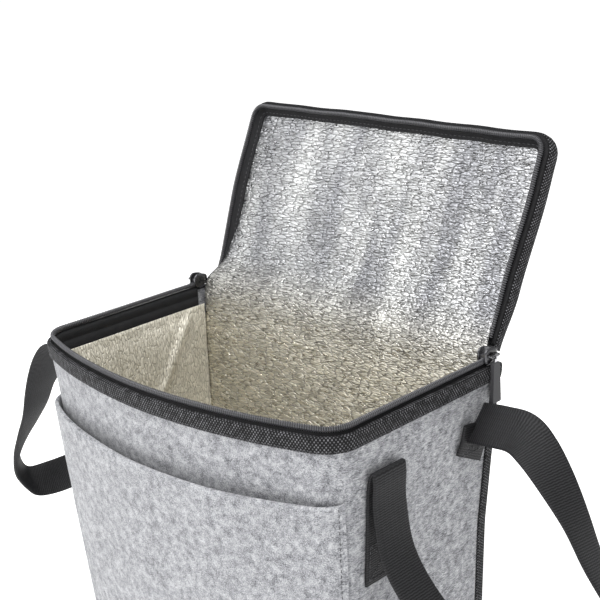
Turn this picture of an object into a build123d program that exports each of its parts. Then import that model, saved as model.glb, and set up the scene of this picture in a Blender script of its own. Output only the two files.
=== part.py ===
from build123d import *
import os
from collections import namedtuple
from math import sqrt

# Insulated cooler bag with a zipped lid. Millimetres, +Z up.
# The origin is the centre of the base, on the surface that the bag stands on.
# +X is the bag's right side, -Y its front with the pocket, and the lid hinges along the back.

# ---- driving dimensions: the body ----
body_height = 220.0
rim_width = 240.0
rim_depth = 130.0
shoulder_drop = 100.0        # below this depth under the rim the walls stand steeper
shoulder_width = 227.0
shoulder_depth = 117.0
base_width = 220.0
base_depth = 112.0
rim_bow = 22.5               # how far the front stands out between its corners
shoulder_bow = 20.0
base_bow = 8.0
corner_radius = 19.0         # front corners; the back corners are seams

# ---- driving dimensions: the layers of the wall ----
felt_thickness = 2.5
foam_thickness = 3.0
foil_thickness = 0.5
band_thickness = 1.2
binding_thickness = 1.0
binding_leg = 6.0            # each leg of the binding round a back seam

# ---- driving dimensions: the zip, the same on the body and on the lid ----
coil_height = 3.6
coil_thickness = 2.6
coil_gap = 2.6               # between the two coils of the closed lid, where the slider's post runs
tape_thickness = 0.8
band_groove = 1.4            # from the coil to the edge of the woven band
band_height = 9.0
inner_tape_thickness = 0.8
inner_tape_height = 10.9
zip_end_margin = 6.0         # from the back face to the ends of the coils
zip_tape_hidden = 2.5        # how far the zip's tape goes down past the woven band

# ---- driving dimensions: the lid ----
lid_length = 122.0           # from the hinge to the free edge
lid_corner_radius = 11.0
lid_open_angle = 116.0       # from closed to rest
lid_felt_thickness = 3.0
lid_inner_tape_height = 2.9
hinge_strip_thickness = 0.8
hinge_strip_inset = 0.8
hinge_strip_end_margin = 6.0
hinge_gap = 1.0              # between the two halves of the fabric hinge

# ---- driving dimensions: the pocket ----
pocket_mouth_drop = 42.5     # below the rim
pocket_gap = 8.0             # how far the pocket's mouth stands open at its middle
pocket_seam = 6.0
pocket_end_margin = 3.0

# ---- driving dimensions: sliders and pull tabs ----
slider_length = 11.0
slider_plate = 1.5
slider_clearance = 0.3
slider_lean_clearance = 0.6  # inside, where the leaning wall comes closer
slider_overlap = 0.6         # how far the plates reach past each coil
slider_post_length = 3.0
slider_start_margin = 7.5    # from the back face to the slider's middle
bail_radius = 0.7
bail_length = 6.0
bail_foot = 1.2
bail_stand_off = 2.2
link_bore_clearance = 0.05
link_eye_radius = 1.6
link_width = 2.4
link_thickness = 1.2
link_length = 6.0
link_grip = 2.5              # how much of the link is inside the tab
tab_length = 23.0
tab_top_width = 5.4
tab_bottom_width = 7.2
tab_thickness = 2.2
tab_clearance = 0.4          # from a hanging tab to the band or binding behind it
tab_corner = 0.7

# ---- driving dimensions: handles ----
strap_width = 25.0
strap_thickness = 1.6
handle_spacing = 72.0        # between the two ends of one handle
handle_seam_clearance = 0.3  # from a handle's back end to the binding of the back seam
handle_drop = 33.0           # from the rim down to the fold of the handle
handle_stand_off = 5.6       # from the wall to the line that the handle swings about
anchor_length = 62.0         # at a handle's straight end
short_anchor_length = 26.0   # at its slanted end, beside the back seam on the right
anchor_fold_height = 3.6
anchor_clearance = 0.3

# The loop of the right handle, from its front end to its back end, counted from the fold line's
# middle: outward, along the side towards the back, up, then the direction of the webbing's width.
handle_route = [
    ((0.0, -38.0, 0.0), (0.0, 1.0, 0.0)),
    ((0.5, -38.0, -22.0), (0.0, 1.0, 0.0)),
    ((5.0, -38.0, -46.0), (0.0, 1.0, 0.0)),
    ((22.0, -38.0, -68.0), (0.0, 1.0, 0.0)),
    ((46.0, -37.0, -87.0), (0.1, 0.98, 0.1)),
    ((76.0, -34.0, -105.0), (0.4, 0.82, 0.41)),
    ((107.0, -26.0, -124.0), (0.65, 0.4, 0.65)),
    ((130.0, -12.0, -138.0), (0.7, 0.1, 0.7)),
    ((139.0, 3.0, -137.0), (0.7, -0.1, 0.7)),
    ((133.0, 16.0, -118.0), (0.6, -0.5, 0.6)),
    ((115.0, 24.0, -92.0), (0.35, -0.85, 0.38)),
    ((84.0, 29.0, -66.0), (0.05, -0.98, 0.2)),
    ((54.0, 33.0, -36.0), (0.0, -1.0, 0.05)),
    ((30.0, 36.0, -8.0), (0.0, -1.0, 0.0)),
    ((0.0, 38.0, 0.0), (0.0, -1.0, 0.0)),
]
route_steps = 3              # sections of the strap between two points of its route

# ---- places that follow from the sizes above ----
big = 1000.0
shoulder_z = body_height - shoulder_drop
coil_inset = felt_thickness + tape_thickness / 2 - coil_thickness / 2
tape_inset = felt_thickness
inner_tape_inset = tape_inset + tape_thickness
lining_inset = felt_thickness + foam_thickness
coil_bottom = body_height - coil_height
band_top = coil_bottom - band_groove
band_bottom = band_top - band_height
felt_top = band_top - band_thickness
tape_bottom = band_bottom - zip_tape_hidden
inner_tape_top = coil_bottom - band_thickness
base_stack = felt_thickness + foam_thickness
hinge_y = rim_depth / 2
hinge_z = body_height + coil_gap / 2
lid_bottom = body_height + coil_gap
lid_front_y = hinge_y - lid_length
lid_band_bottom = coil_height + band_groove
lid_height = lid_band_bottom + band_height
lid_felt_under = lid_height - lid_felt_thickness
lid_foil_under = lid_felt_under - foam_thickness - foil_thickness
zip_end_y = hinge_y - zip_end_margin
slider_y = hinge_y - slider_start_margin
handle_z = body_height - handle_drop

Level = namedtuple("Level", "z width depth bow")
levels = [
    Level(0.0, base_width, base_depth, base_bow),
    Level(shoulder_z, shoulder_width, shoulder_depth, shoulder_bow),
    Level(body_height, rim_width, rim_depth, rim_bow),
]


def level_at(z):
    """The body's size at a height, between the base, the shoulder and the rim."""
    low, high = (levels[0], levels[1]) if z <= shoulder_z else (levels[1], levels[2])
    share = (z - low.z) / (high.z - low.z)
    return Level(*(a + (b - a) * share for a, b in zip(low, high)))


def arc_through(centre, radius, start, end):
    """The short arc of a circle between two of its points."""
    middle = (start + end) / 2 - centre
    return ThreePointArc(start, centre + middle.normalized() * radius, end)


def body_section(level, inset, extra_bow=0.0):
    """Horizontal section of the body, inset from its outer face: straight back and sides, bowed front."""
    half, back = level.width / 2, level.depth / 2
    bow = level.bow + extra_bow
    radius = (half * half + bow * bow) / (2 * bow)
    front_centre = Vector(0, -back - bow + radius)
    reach = radius - corner_radius
    corner_x = half - corner_radius
    corner = Vector(corner_x, front_centre.Y - sqrt(reach * reach - corner_x * corner_x))
    side_end = Vector(half - inset, corner.Y)
    front_end = front_centre + (corner - front_centre).normalized() * (radius - inset)
    back_right = Vector(half - inset, back - inset)
    mirrored = [Vector(-p.X, p.Y) for p in (back_right, side_end, front_end)]
    mirrored_corner = Vector(-corner.X, corner.Y)
    outline = [
        Line(mirrored[0], back_right),
        Line(back_right, side_end),
        arc_through(corner, corner_radius - inset, side_end, front_end),
        arc_through(front_centre, radius - inset, front_end, mirrored[2]),
        arc_through(mirrored_corner, corner_radius - inset, mirrored[2], mirrored[1]),
        Line(mirrored[1], mirrored[0]),
    ]
    return Pos(0, 0, level.z) * make_face(Wire(outline))


def body_core(inset, extra_bow=0.0):
    """The whole body as one solid, inset from its outer face."""
    return loft([body_section(level, inset, extra_bow) for level in levels], ruled=True)


def block(x_range, y_range, z_range):
    """A box given by its lowest and highest coordinates."""
    ranges = (x_range, y_range, z_range)
    sizes = [high - low for low, high in ranges]
    centre = [(high + low) / 2 for low, high in ranges]
    return Pos(*centre) * Box(*sizes)


def slab(z_low, z_high):
    return block((-big, big), (-big, big), (z_low, z_high))


def body_layer(outer_inset, inner_inset, z_low, z_high):
    """A wall of the body between two insets and two heights."""
    return (body_core(outer_inset) - body_core(inner_inset)) & slab(z_low, z_high)


def zipped_sides():
    """The space in front of the ends of the zip."""
    return block((-big, big), (-big, zip_end_y), (-big, big))


def back_block(side_inset, back_inset):
    """The back wall's space between the side walls, leaning with them."""
    sections = []
    for level in levels:
        half = level.width / 2 - side_inset
        back = level.depth / 2 - back_inset
        sections.append(Pos(0, back + big / 2, level.z) * Rectangle(2 * half, big))
    return loft(sections, ruled=True)


# ---- the body ----
def felt_wall():
    return body_layer(0, felt_thickness, 0, felt_top)


def felt_wrap():
    """Front and both sides, one length of felt."""
    return felt_wall() - back_block(felt_thickness, felt_thickness)


def felt_back_panel():
    return felt_wall() & back_block(felt_thickness, felt_thickness)


def felt_base_panel():
    return body_core(felt_thickness) & slab(0, felt_thickness)


def foam_base():
    return body_core(felt_thickness) & slab(felt_thickness, base_stack)


def foam_wall():
    return body_layer(felt_thickness, lining_inset, base_stack, tape_bottom - foil_thickness)


def foam_front_y():
    """Where the front foam panel, which goes round both corners, meets the side panels."""
    return -rim_depth / 2 + corner_radius


def foam_front():
    return foam_wall() & block((-big, big), (-big, foam_front_y()), (-big, big))


def foam_back():
    """Back foam panel, over the full width."""
    return foam_wall() & back_block(felt_thickness, lining_inset)


def foam_side(side):
    """Side foam panel, between the front one and the back one."""
    x_range = (0, big) if side > 0 else (-big, 0)
    between = foam_wall() & block(x_range, (foam_front_y(), big), (-big, big))
    return between - back_block(felt_thickness, lining_inset)


def foil_lining():
    """Tub of foil with a lip over the top of the foam."""
    top = tape_bottom
    lip = body_layer(felt_thickness, lining_inset + foil_thickness, top - foil_thickness, top)
    wall = body_layer(lining_inset, lining_inset + foil_thickness, base_stack, top - foil_thickness)
    floor = body_core(lining_inset + foil_thickness) & slab(base_stack, base_stack + foil_thickness)
    return wall + floor + lip


def rim_band():
    return body_layer(-band_thickness, 0, band_bottom, band_top)


def zip_tape_body():
    inner = inner_tape_inset
    return body_layer(tape_inset, inner, tape_bottom, coil_bottom) & zipped_sides()


def zip_coil_body():
    inner = coil_inset + coil_thickness
    return body_layer(coil_inset, inner, coil_bottom, body_height) & zipped_sides()


def rim_inner_tape():
    inner = inner_tape_inset + inner_tape_thickness
    low = inner_tape_top - inner_tape_height
    return body_layer(inner_tape_inset, inner, low, inner_tape_top) & zipped_sides()


def seam_binding(side):
    """Binding round a back seam, an L in section, below the rim's band."""
    wall = body_layer(-binding_thickness, 0, felt_thickness, band_bottom)
    sections = []
    for level in levels:
        x = side * (level.width / 2 - binding_leg + big / 2)
        y = level.depth / 2 - binding_leg + big / 2
        sections.append(Pos(x, y, level.z) * Rectangle(big, big))
    return wall & loft(sections, ruled=True)


def pocket_panel():
    """Felt pocket over the whole front, sewn at its sides and bottom, with its mouth a little open."""
    mouth = body_height - pocket_mouth_drop
    outer = body_core(-felt_thickness, pocket_gap)
    inner = body_core(0, pocket_gap)
    sections, cavities = [], []
    for level in levels:
        reach = level.width - 2 * pocket_end_margin
        place = Pos(0, -big / 2 - level.depth / 2 + corner_radius, level.z)
        sections.append(place * Rectangle(reach, big))
        cavities.append(place * Rectangle(reach - 2 * pocket_seam, big))
    front = loft(sections, ruled=True) & slab(felt_thickness, mouth)
    cavity = loft(cavities, ruled=True) & slab(felt_thickness + pocket_seam, mouth)
    return (outer & front) - body_core(0) - (inner & cavity)


# ---- the fabric hinge: two halves that meet at its axis ----
def hinge_strip(z_low, z_high):
    outer = hinge_y - hinge_strip_inset
    half = rim_width / 2 - hinge_strip_end_margin
    return block((-half, half), (outer - hinge_strip_thickness, outer), (z_low, z_high))


def hinge_strip_body():
    return hinge_strip(felt_top, hinge_z - hinge_gap / 2)


def hinge_strip_lid():
    return hinge_strip(hinge_z + hinge_gap / 2, lid_bottom + lid_band_bottom + band_thickness)


# ---- the lid, modelled closed ----
def lid_section(inset):
    half = rim_width / 2 - inset
    front = lid_front_y + inset
    back = hinge_y - inset
    sheet = Pos(0, (front + back) / 2) * Rectangle(2 * half, back - front)
    return fillet(sheet.vertices().group_by(Axis.Y)[0], lid_corner_radius - inset)


def lid_plate(inset, low, high):
    """A plate of the lid between two heights above the lid's lower edge."""
    return extrude(Pos(0, 0, lid_bottom + low) * lid_section(inset), high - low)


def lid_ring(outer_inset, inner_inset, low, high):
    return lid_plate(outer_inset, low, high) - lid_plate(inner_inset, low, high)


def lid_felt():
    """Top panel with its turned-down edge."""
    top = lid_plate(0, lid_felt_under, lid_height)
    return top + lid_ring(0, felt_thickness, lid_band_bottom + band_thickness, lid_felt_under)


def lid_foam():
    return lid_plate(inner_tape_inset, lid_felt_under - foam_thickness, lid_felt_under)


def lid_foil():
    return lid_plate(inner_tape_inset, lid_foil_under, lid_foil_under + foil_thickness)


def lid_band():
    return lid_ring(-band_thickness, 0, lid_band_bottom, lid_height)


def lid_zip_tape():
    return lid_ring(tape_inset, inner_tape_inset, coil_height, lid_felt_under) & zipped_sides()


def lid_zip_coil():
    return lid_ring(coil_inset, coil_inset + coil_thickness, 0, coil_height) & zipped_sides()


def lid_inner_tape():
    inner = inner_tape_inset + inner_tape_thickness
    low = lid_foil_under - lid_inner_tape_height
    return lid_ring(inner_tape_inset, inner, low, lid_foil_under) & zipped_sides()


def opened(piece):
    """A piece of the closed lid, turned to where the lid rests."""
    return piece.rotate(Axis((0, hinge_y, hinge_z), (-1, 0, 0)), lid_open_angle)


# ---- sliders and pull tabs, modelled on the right side ----
coil_face_x = max(rim_width, level_at(coil_bottom).width) / 2 - coil_inset
outer_plate_x = coil_face_x + slider_clearance
inner_plate_x = rim_width / 2 - coil_inset - coil_thickness - slider_lean_clearance
bail_z = hinge_z
tab_bottom_z = bail_z - link_length + link_grip - tab_length
behind_tab = [band_top, tab_bottom_z] + [shoulder_z] * (shoulder_z > tab_bottom_z)
wall_face_x = max(level_at(z).width for z in behind_tab) / 2 + max(band_thickness, binding_thickness)
bail_x = max(outer_plate_x + slider_plate + bail_stand_off,
             wall_face_x + tab_clearance + tab_thickness / 2)


def along(start, length):
    """A range that starts at a distance from the slider's middle, towards the back."""
    return (slider_y + start, slider_y + start + length)


def slider():
    """Two plates joined by a post between the coils, with a bail on the outer plate."""
    z_range = (coil_bottom - slider_overlap, lid_bottom + coil_height + slider_overlap)
    y_range = along(-slider_length / 2, slider_length)
    outer = block((outer_plate_x, outer_plate_x + slider_plate), y_range, z_range)
    inner = block((inner_plate_x - slider_plate, inner_plate_x), y_range, z_range)
    outer = fillet(outer.edges().filter_by(Axis.X), slider_plate)
    inner = fillet(inner.edges().filter_by(Axis.X), slider_plate)
    post_z = (body_height + slider_clearance, lid_bottom - slider_clearance)
    post_y = along(-slider_length / 2 + slider_plate, slider_post_length)
    post = block((inner_plate_x, outer_plate_x), post_y, post_z)
    bail = Pos(bail_x, slider_y, bail_z) * Rot(90, 0, 0) * Cylinder(bail_radius, bail_length)
    feet_x = (outer_plate_x + slider_plate, bail_x + bail_radius)
    feet_z = (bail_z - bail_radius, bail_z + bail_radius)
    feet = [block(feet_x, along(start, bail_foot), feet_z)
            for start in (-bail_length / 2 - bail_foot, bail_length / 2)]
    return outer + inner + post + bail + feet[0] + feet[1]


def link_shank():
    x_range = (bail_x - link_thickness / 2, bail_x + link_thickness / 2)
    z_range = (bail_z - link_length, bail_z - bail_radius - link_thickness / 2)
    return block(x_range, along(-link_width / 2, link_width), z_range)


def pull_link():
    """Metal eye on the bail, with a shank that goes into the tab."""
    turned = Pos(bail_x, slider_y, bail_z) * Rot(90, 0, 0)
    eye = turned * Cylinder(link_eye_radius, link_width)
    bore = turned * Cylinder(bail_radius + link_bore_clearance, 2 * link_width)
    return eye + link_shank() - bore


def pull_tab():
    """Moulded tab, wider at its lower end."""
    top = bail_z - link_length + link_grip
    half_top, half_bottom = tab_top_width / 2, tab_bottom_width / 2
    corners = [(-half_top, top), (half_top, top),
               (half_bottom, top - tab_length), (-half_bottom, top - tab_length)]
    outline = make_face(Polyline(*corners, close=True))
    face = Plane(origin=(bail_x, slider_y, 0), x_dir=(0, 1, 0), z_dir=(1, 0, 0)) * outline
    tab = extrude(face, tab_thickness / 2, both=True)
    tab = fillet(tab.edges().filter_by(Axis.X), tab_corner)
    return tab - link_shank()


# ---- handles ----
def catmull_rom(points, steps):
    """A smooth line through points: the points and the places between them."""
    ends = [points[0] * 2 - points[1]] + points + [points[-1] * 2 - points[-2]]
    line = []
    for a, b, c, d in zip(ends, ends[1:], ends[2:], ends[3:]):
        for step in range(steps):
            t = step / steps
            line.append((b * 2 + (c - a) * t + (a * 2 - b * 5 + c * 4 - d) * t * t
                         + (b * 3 - a - c * 3 + d) * t * t * t) / 2)
    return line + [points[-1]]


def fold_x():
    """Where the handle's fold line stands, outside the leaning side wall."""
    return level_at(handle_z).width / 2 + handle_stand_off


def handle_centre_y():
    """The middle between a handle's two ends: its back end stands just in front of the back seam."""
    seam = level_at(handle_z - anchor_length).depth / 2 - binding_leg
    return seam - handle_seam_clearance - strap_width / 2 - handle_spacing / 2


def handle(side):
    """One loop of webbing. The left one is the right one turned half round."""
    half = handle_spacing / 2
    places, widths = [], []
    for (out, back, up), width in handle_route:
        reach = back * half / handle_route[-1][0][1]
        places.append(Vector(side * (fold_x() + out), handle_centre_y() + side * reach, handle_z + up))
        widths.append(Vector(side * width[0], side * width[1], width[2]))
    line = catmull_rom(places, route_steps)
    turns = catmull_rom(widths, route_steps)
    sections = []
    for i, (place, turn) in enumerate(zip(line, turns)):
        ahead, behind = line[min(i + 1, len(line) - 1)], line[max(i - 1, 0)]
        tangent = (ahead - behind).normalized()
        width = (turn - tangent * turn.dot(tangent)).normalized()
        sections.append(Plane(place, x_dir=width, z_dir=tangent) * Rectangle(strap_width, strap_thickness))
    return loft(sections, ruled=True)


def handle_anchor(side, end):
    """End of a handle, sewn to the side wall, with a folded top that the loop hangs from."""
    y = handle_centre_y() + end * handle_spacing / 2
    low_z = handle_z - (short_anchor_length if side * end > 0 else anchor_length)
    feet = []
    for z in (low_z, min(max(low_z, shoulder_z), handle_z), handle_z):
        if feet and z <= feet[-1][0]:
            continue
        feet.append((z, level_at(z).width / 2))
    sections = [Pos(side * (x + strap_thickness / 2), y, z) * Rectangle(strap_thickness, strap_width)
                for z, x in feet]
    strip = loft(sections, ruled=True)
    fold_out = fold_x() - strap_thickness / 2 - anchor_clearance
    x_range = sorted((side * (feet[-1][1] - felt_thickness), side * fold_out))
    fold_z = (handle_z - anchor_fold_height / 2, handle_z + anchor_fold_height / 2)
    fold = block(x_range, (y - strap_width / 2, y + strap_width / 2), fold_z)
    return strip + (fold - body_core(0))


def mirrored(piece, side):
    """A piece modelled on the right side, or its mirror image on the left."""
    return piece if side > 0 else mirror(piece, Plane.YZ)


def build():
    nodes = {
        "felt_wrap": felt_wrap(),
        "felt_back_panel": felt_back_panel(),
        "felt_base_panel": felt_base_panel(),
        "foam_base": foam_base(),
        "foam_front": foam_front(),
        "foam_back": foam_back(),
        "foil_lining": foil_lining(),
        "rim_band": rim_band(),
        "zip_tape_body": zip_tape_body(),
        "zip_coil_body": zip_coil_body(),
        "rim_inner_tape": rim_inner_tape(),
        "pocket_panel": pocket_panel(),
        "hinge_strip_body": hinge_strip_body(),
        "hinge_strip_lid": opened(hinge_strip_lid()),
        "lid_felt": opened(lid_felt()),
        "lid_foam": opened(lid_foam()),
        "lid_foil": opened(lid_foil()),
        "lid_band": opened(lid_band()),
        "lid_zip_tape": opened(lid_zip_tape()),
        "lid_zip_coil": opened(lid_zip_coil()),
        "lid_inner_tape": opened(lid_inner_tape()),
    }
    for name, side in (("left", -1), ("right", 1)):
        nodes["foam_" + name] = foam_side(side)
        nodes["seam_binding_" + name] = seam_binding(side)
        nodes["slider_" + name] = mirrored(slider(), side)
        nodes["pull_link_" + name] = mirrored(pull_link(), side)
        nodes["pull_tab_" + name] = mirrored(pull_tab(), side)
        nodes["handle_" + name] = handle(side)
        for place, end in (("front", -1), ("back", 1)):
            nodes[f"handle_anchor_{name}_{place}"] = handle_anchor(side, end)
    return nodes


if __name__ == "__main__":
    os.makedirs("parts", exist_ok=True)
    for node, piece in build().items():
        export_step(piece, f"parts/{node}.step")
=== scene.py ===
"""Looks of an insulated cooler bag: melange felt, woven bands, coil zip, foil lining and webbing handles.

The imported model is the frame. Sizes below are in millimetres, as on a maker's drawing, and every
mesh is scaled to metres when it is finished. The bag's right side is +X and its front is -Y.
"""

import logging
import math
from dataclasses import dataclass, field
from enum import Enum
from typing import Any, Callable, Optional, Sequence

import bmesh
import bpy
from mathutils import Matrix, Vector, noise


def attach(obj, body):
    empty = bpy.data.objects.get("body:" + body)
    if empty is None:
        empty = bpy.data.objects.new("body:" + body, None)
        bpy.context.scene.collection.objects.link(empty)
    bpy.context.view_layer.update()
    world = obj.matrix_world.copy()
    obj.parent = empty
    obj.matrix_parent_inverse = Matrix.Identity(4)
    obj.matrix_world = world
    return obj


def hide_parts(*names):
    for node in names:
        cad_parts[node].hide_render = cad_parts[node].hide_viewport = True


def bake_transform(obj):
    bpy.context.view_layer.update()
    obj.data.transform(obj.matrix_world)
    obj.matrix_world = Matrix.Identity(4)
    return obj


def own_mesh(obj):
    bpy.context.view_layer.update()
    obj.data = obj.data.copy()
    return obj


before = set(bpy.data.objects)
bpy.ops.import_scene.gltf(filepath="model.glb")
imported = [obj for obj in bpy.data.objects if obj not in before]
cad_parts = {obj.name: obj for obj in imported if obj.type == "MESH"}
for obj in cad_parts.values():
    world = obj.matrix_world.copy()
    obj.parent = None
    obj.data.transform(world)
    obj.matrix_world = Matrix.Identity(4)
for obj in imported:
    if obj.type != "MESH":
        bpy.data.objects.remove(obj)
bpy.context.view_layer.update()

LOG = logging.getLogger("cooler_bag")
MM = 0.001


# ---------------------------------------------------------------- small tools for materials
def srgb(code: str) -> tuple[float, float, float, float]:
    """Turns an sRGB hex colour into the linear colour that shaders use.

    Args:
        code: Six hex digits, with or without a leading hash.

    Returns:
        Linear red, green, blue and an alpha of one.
    """
    code = code.lstrip("#")
    values = [int(code[i:i + 2], 16) / 255 for i in (0, 2, 4)]
    linear = [v / 12.92 if v <= 0.04045 else ((v + 0.055) / 1.055) ** 2.4 for v in values]
    return (linear[0], linear[1], linear[2], 1.0)


def add(tree: bpy.types.NodeTree, kind: str, inputs: Optional[dict] = None,
        **settings: Any) -> bpy.types.Node:
    """Adds a shader node with its settings, values and links.

    Args:
        tree: The node tree it goes into.
        kind: The node's type.
        inputs: Socket name or number to a value, or to the output socket that is linked to it.
        **settings: The node's own properties.

    Returns:
        The new node.
    """
    made = tree.nodes.new(kind)
    for key, value in settings.items():
        setattr(made, key, value)
    for key, value in (inputs or {}).items():
        if isinstance(value, bpy.types.NodeSocket):
            tree.links.new(value, made.inputs[key])
        else:
            made.inputs[key].default_value = value
    return made


class Space(Enum):
    """What a pattern is laid out on."""

    SURFACE = "UV"
    SOLID = "Object"


def pattern_space(tree: bpy.types.NodeTree, space: Space, scale: Sequence[float],
                  turn: float = 0.0) -> bpy.types.NodeSocket:
    """Coordinates in pattern units: one unit is one repeat.

    Args:
        tree: The material's tree.
        space: The piece's own UV map, in millimetres, or its Object coordinates, in metres.
        scale: Repeats for each unit of the coordinates, along each axis.
        turn: Angle by which the pattern is turned about Z, in degrees.

    Returns:
        The output socket with the scaled coordinates.
    """
    place = add(tree, "ShaderNodeTexCoord")
    mapping = add(tree, "ShaderNodeMapping", {
        "Vector": place.outputs[space.value], "Scale": tuple(scale),
        "Rotation": (0.0, 0.0, math.radians(turn))})
    return mapping.outputs["Vector"]


def ramp(tree: bpy.types.NodeTree, value: bpy.types.NodeSocket,
         stops: Sequence[tuple[float, tuple]]) -> bpy.types.NodeSocket:
    """A colour ramp through the given stops.

    Args:
        tree: The material's tree.
        value: The socket that drives it.
        stops: Position and linear colour of each stop, in order.

    Returns:
        The ramp's colour socket.
    """
    made = add(tree, "ShaderNodeValToRGB", {"Fac": value})
    elements = made.color_ramp.elements
    while len(elements) < len(stops):
        elements.new(0.5)
    for element, (position, colour) in zip(elements, stops):
        element.position = position
        element.color = colour
    return made.outputs["Color"]


def math_node(tree: bpy.types.NodeTree, operation: str, *values: Any) -> bpy.types.NodeSocket:
    """The result of one arithmetic step on sockets or numbers."""
    return add(tree, "ShaderNodeMath", dict(enumerate(values)), operation=operation).outputs[0]


def noise_value(tree: bpy.types.NodeTree, space: bpy.types.NodeSocket,
                **settings: float) -> bpy.types.NodeSocket:
    """Noise with one repeat for each unit of the space."""
    return add(tree, "ShaderNodeTexNoise", {"Vector": space, "Scale": 1.0, **settings}).outputs["Fac"]


class Finish:
    """A finish that dresses pieces. Each builds its material once."""

    label = "finish"
    slot: Optional[str] = None
    _made: dict = {}

    def colour(self, tree: bpy.types.NodeTree, shader: bpy.types.Node) -> None:
        """Adds this finish's pattern to the shader."""

    def material(self) -> bpy.types.Material:
        """The material, made at the first call.

        Returns:
            The Blender material of this finish.
        """
        if self.label not in Finish._made:
            made = bpy.data.materials.new(self.label)
            made.use_nodes = True
            shader = next(n for n in made.node_tree.nodes if n.type == "BSDF_PRINCIPLED")
            self.colour(made.node_tree, shader)
            Finish._made[self.label] = made
        return Finish._made[self.label]


def set_shader(shader: bpy.types.Node, **values: Any) -> None:
    """Sets constant values on the shader's own sockets."""
    for name, value in values.items():
        shader.inputs[name.replace("_", " ")].default_value = value


def link_bump(tree: bpy.types.NodeTree, shader: bpy.types.Node, height: bpy.types.NodeSocket,
              depth_mm: float, strength: float = 1.0, under: Optional[bpy.types.NodeSocket] = None
              ) -> bpy.types.NodeSocket:
    """Feeds a height pattern to the shader's normal.

    Args:
        tree: The material's tree.
        shader: The shader that is bumped.
        height: Height between 0 and 1.
        depth_mm: The real depth of the pattern.
        strength: The share of it that shows.
        under: A coarser bump that this one lies on.

    Returns:
        The normal socket.
    """
    inputs: dict = {"Height": height, "Strength": strength, "Distance": depth_mm * MM}
    if under is not None:
        inputs["Normal"] = under
    bump = add(tree, "ShaderNodeBump", inputs)
    tree.links.new(bump.outputs["Normal"], shader.inputs["Normal"])
    return bump.outputs["Normal"]


# ---------------------------------------------------------------- finishes
@dataclass(frozen=True)
class MelangeFelt(Finish):
    """Needle-punched polyester felt: grey and white fibres matted together, dry and matt."""

    label: str = "needle_felt_melange"
    slot: str = "felt"
    light: str = "#cbccce"
    middle: str = "#919296"
    dark: str = "#434448"
    fibre_mm: tuple = (0.55, 2.4)
    cloud_mm: float = 4.5

    def colour(self, tree: bpy.types.NodeTree, shader: bpy.types.Node) -> None:
        """Fibre strokes in three directions over soft clouds."""
        strokes = None
        thin, long = self.fibre_mm
        for turn in (12.0, 74.0, 133.0):
            space = pattern_space(tree, Space.SOLID, (1000 / thin, 1000 / long, 1000 / thin), turn)
            fibres = noise_value(tree, space, Detail=2.0, Roughness=0.6, Distortion=0.9)
            strokes = fibres if strokes is None else math_node(tree, "ADD", strokes, fibres)
        strokes = math_node(tree, "DIVIDE", strokes, 3.0)
        cloud_space = pattern_space(tree, Space.SOLID, (1000 / self.cloud_mm,) * 3)
        clouds = noise_value(tree, cloud_space, Detail=3.0, Roughness=0.65)
        mixed = math_node(tree, "ADD", math_node(tree, "MULTIPLY", strokes, 0.72),
                          math_node(tree, "MULTIPLY", clouds, 0.28))
        tone = ramp(tree, mixed, [(0.39, srgb(self.dark)), (0.495, srgb(self.middle)),
                                  (0.61, srgb(self.light))])
        tree.links.new(tone, shader.inputs["Base Color"])
        set_shader(shader, Roughness=0.95, Specular_IOR_Level=0.18, Sheen_Weight=0.25, Sheen_Roughness=0.5)
        link_bump(tree, shader, mixed, 0.9, 0.55)


@dataclass(frozen=True)
class DottedWeave(Finish):
    """Coarse woven polypropylene binding: rows of raised yarn dots, half a pitch apart."""

    label: str = "polypropylene_binding_woven"
    slot: str = "woven_band"
    base: str = "#0a0a0b"
    yarn: str = "#7e7e82"
    pitch_mm: float = 1.8
    row_mm: float = 1.3

    def colour(self, tree: bpy.types.NodeTree, shader: bpy.types.Node) -> None:
        """Dots from two crossed waves on the piece's own UV map."""
        space = pattern_space(tree, Space.SURFACE, (1 / self.pitch_mm, 0.5 / self.row_mm, 1.0))
        parts = add(tree, "ShaderNodeSeparateXYZ", {"Vector": space})
        across = math_node(tree, "COSINE", math_node(tree, "MULTIPLY", parts.outputs["X"], math.tau))
        along = math_node(tree, "COSINE", math_node(tree, "MULTIPLY", parts.outputs["Y"], math.tau))
        dots = math_node(tree, "MULTIPLY", across, along)
        height = math_node(tree, "MULTIPLY_ADD", dots, 0.5, 0.5)
        wear_space = pattern_space(tree, Space.SOLID, (1000 / 3.0,) * 3)
        wear = noise_value(tree, wear_space, Detail=3.0)
        shown = math_node(tree, "MULTIPLY", height, math_node(tree, "MULTIPLY_ADD", wear, 1.1, 0.35))
        tone = ramp(tree, shown, [(0.52, srgb(self.base)), (1.0, srgb(self.yarn))])
        tree.links.new(tone, shader.inputs["Base Color"])
        set_shader(shader, Roughness=0.7, Specular_IOR_Level=0.2)
        link_bump(tree, shader, height, 0.45, 0.8)


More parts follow.
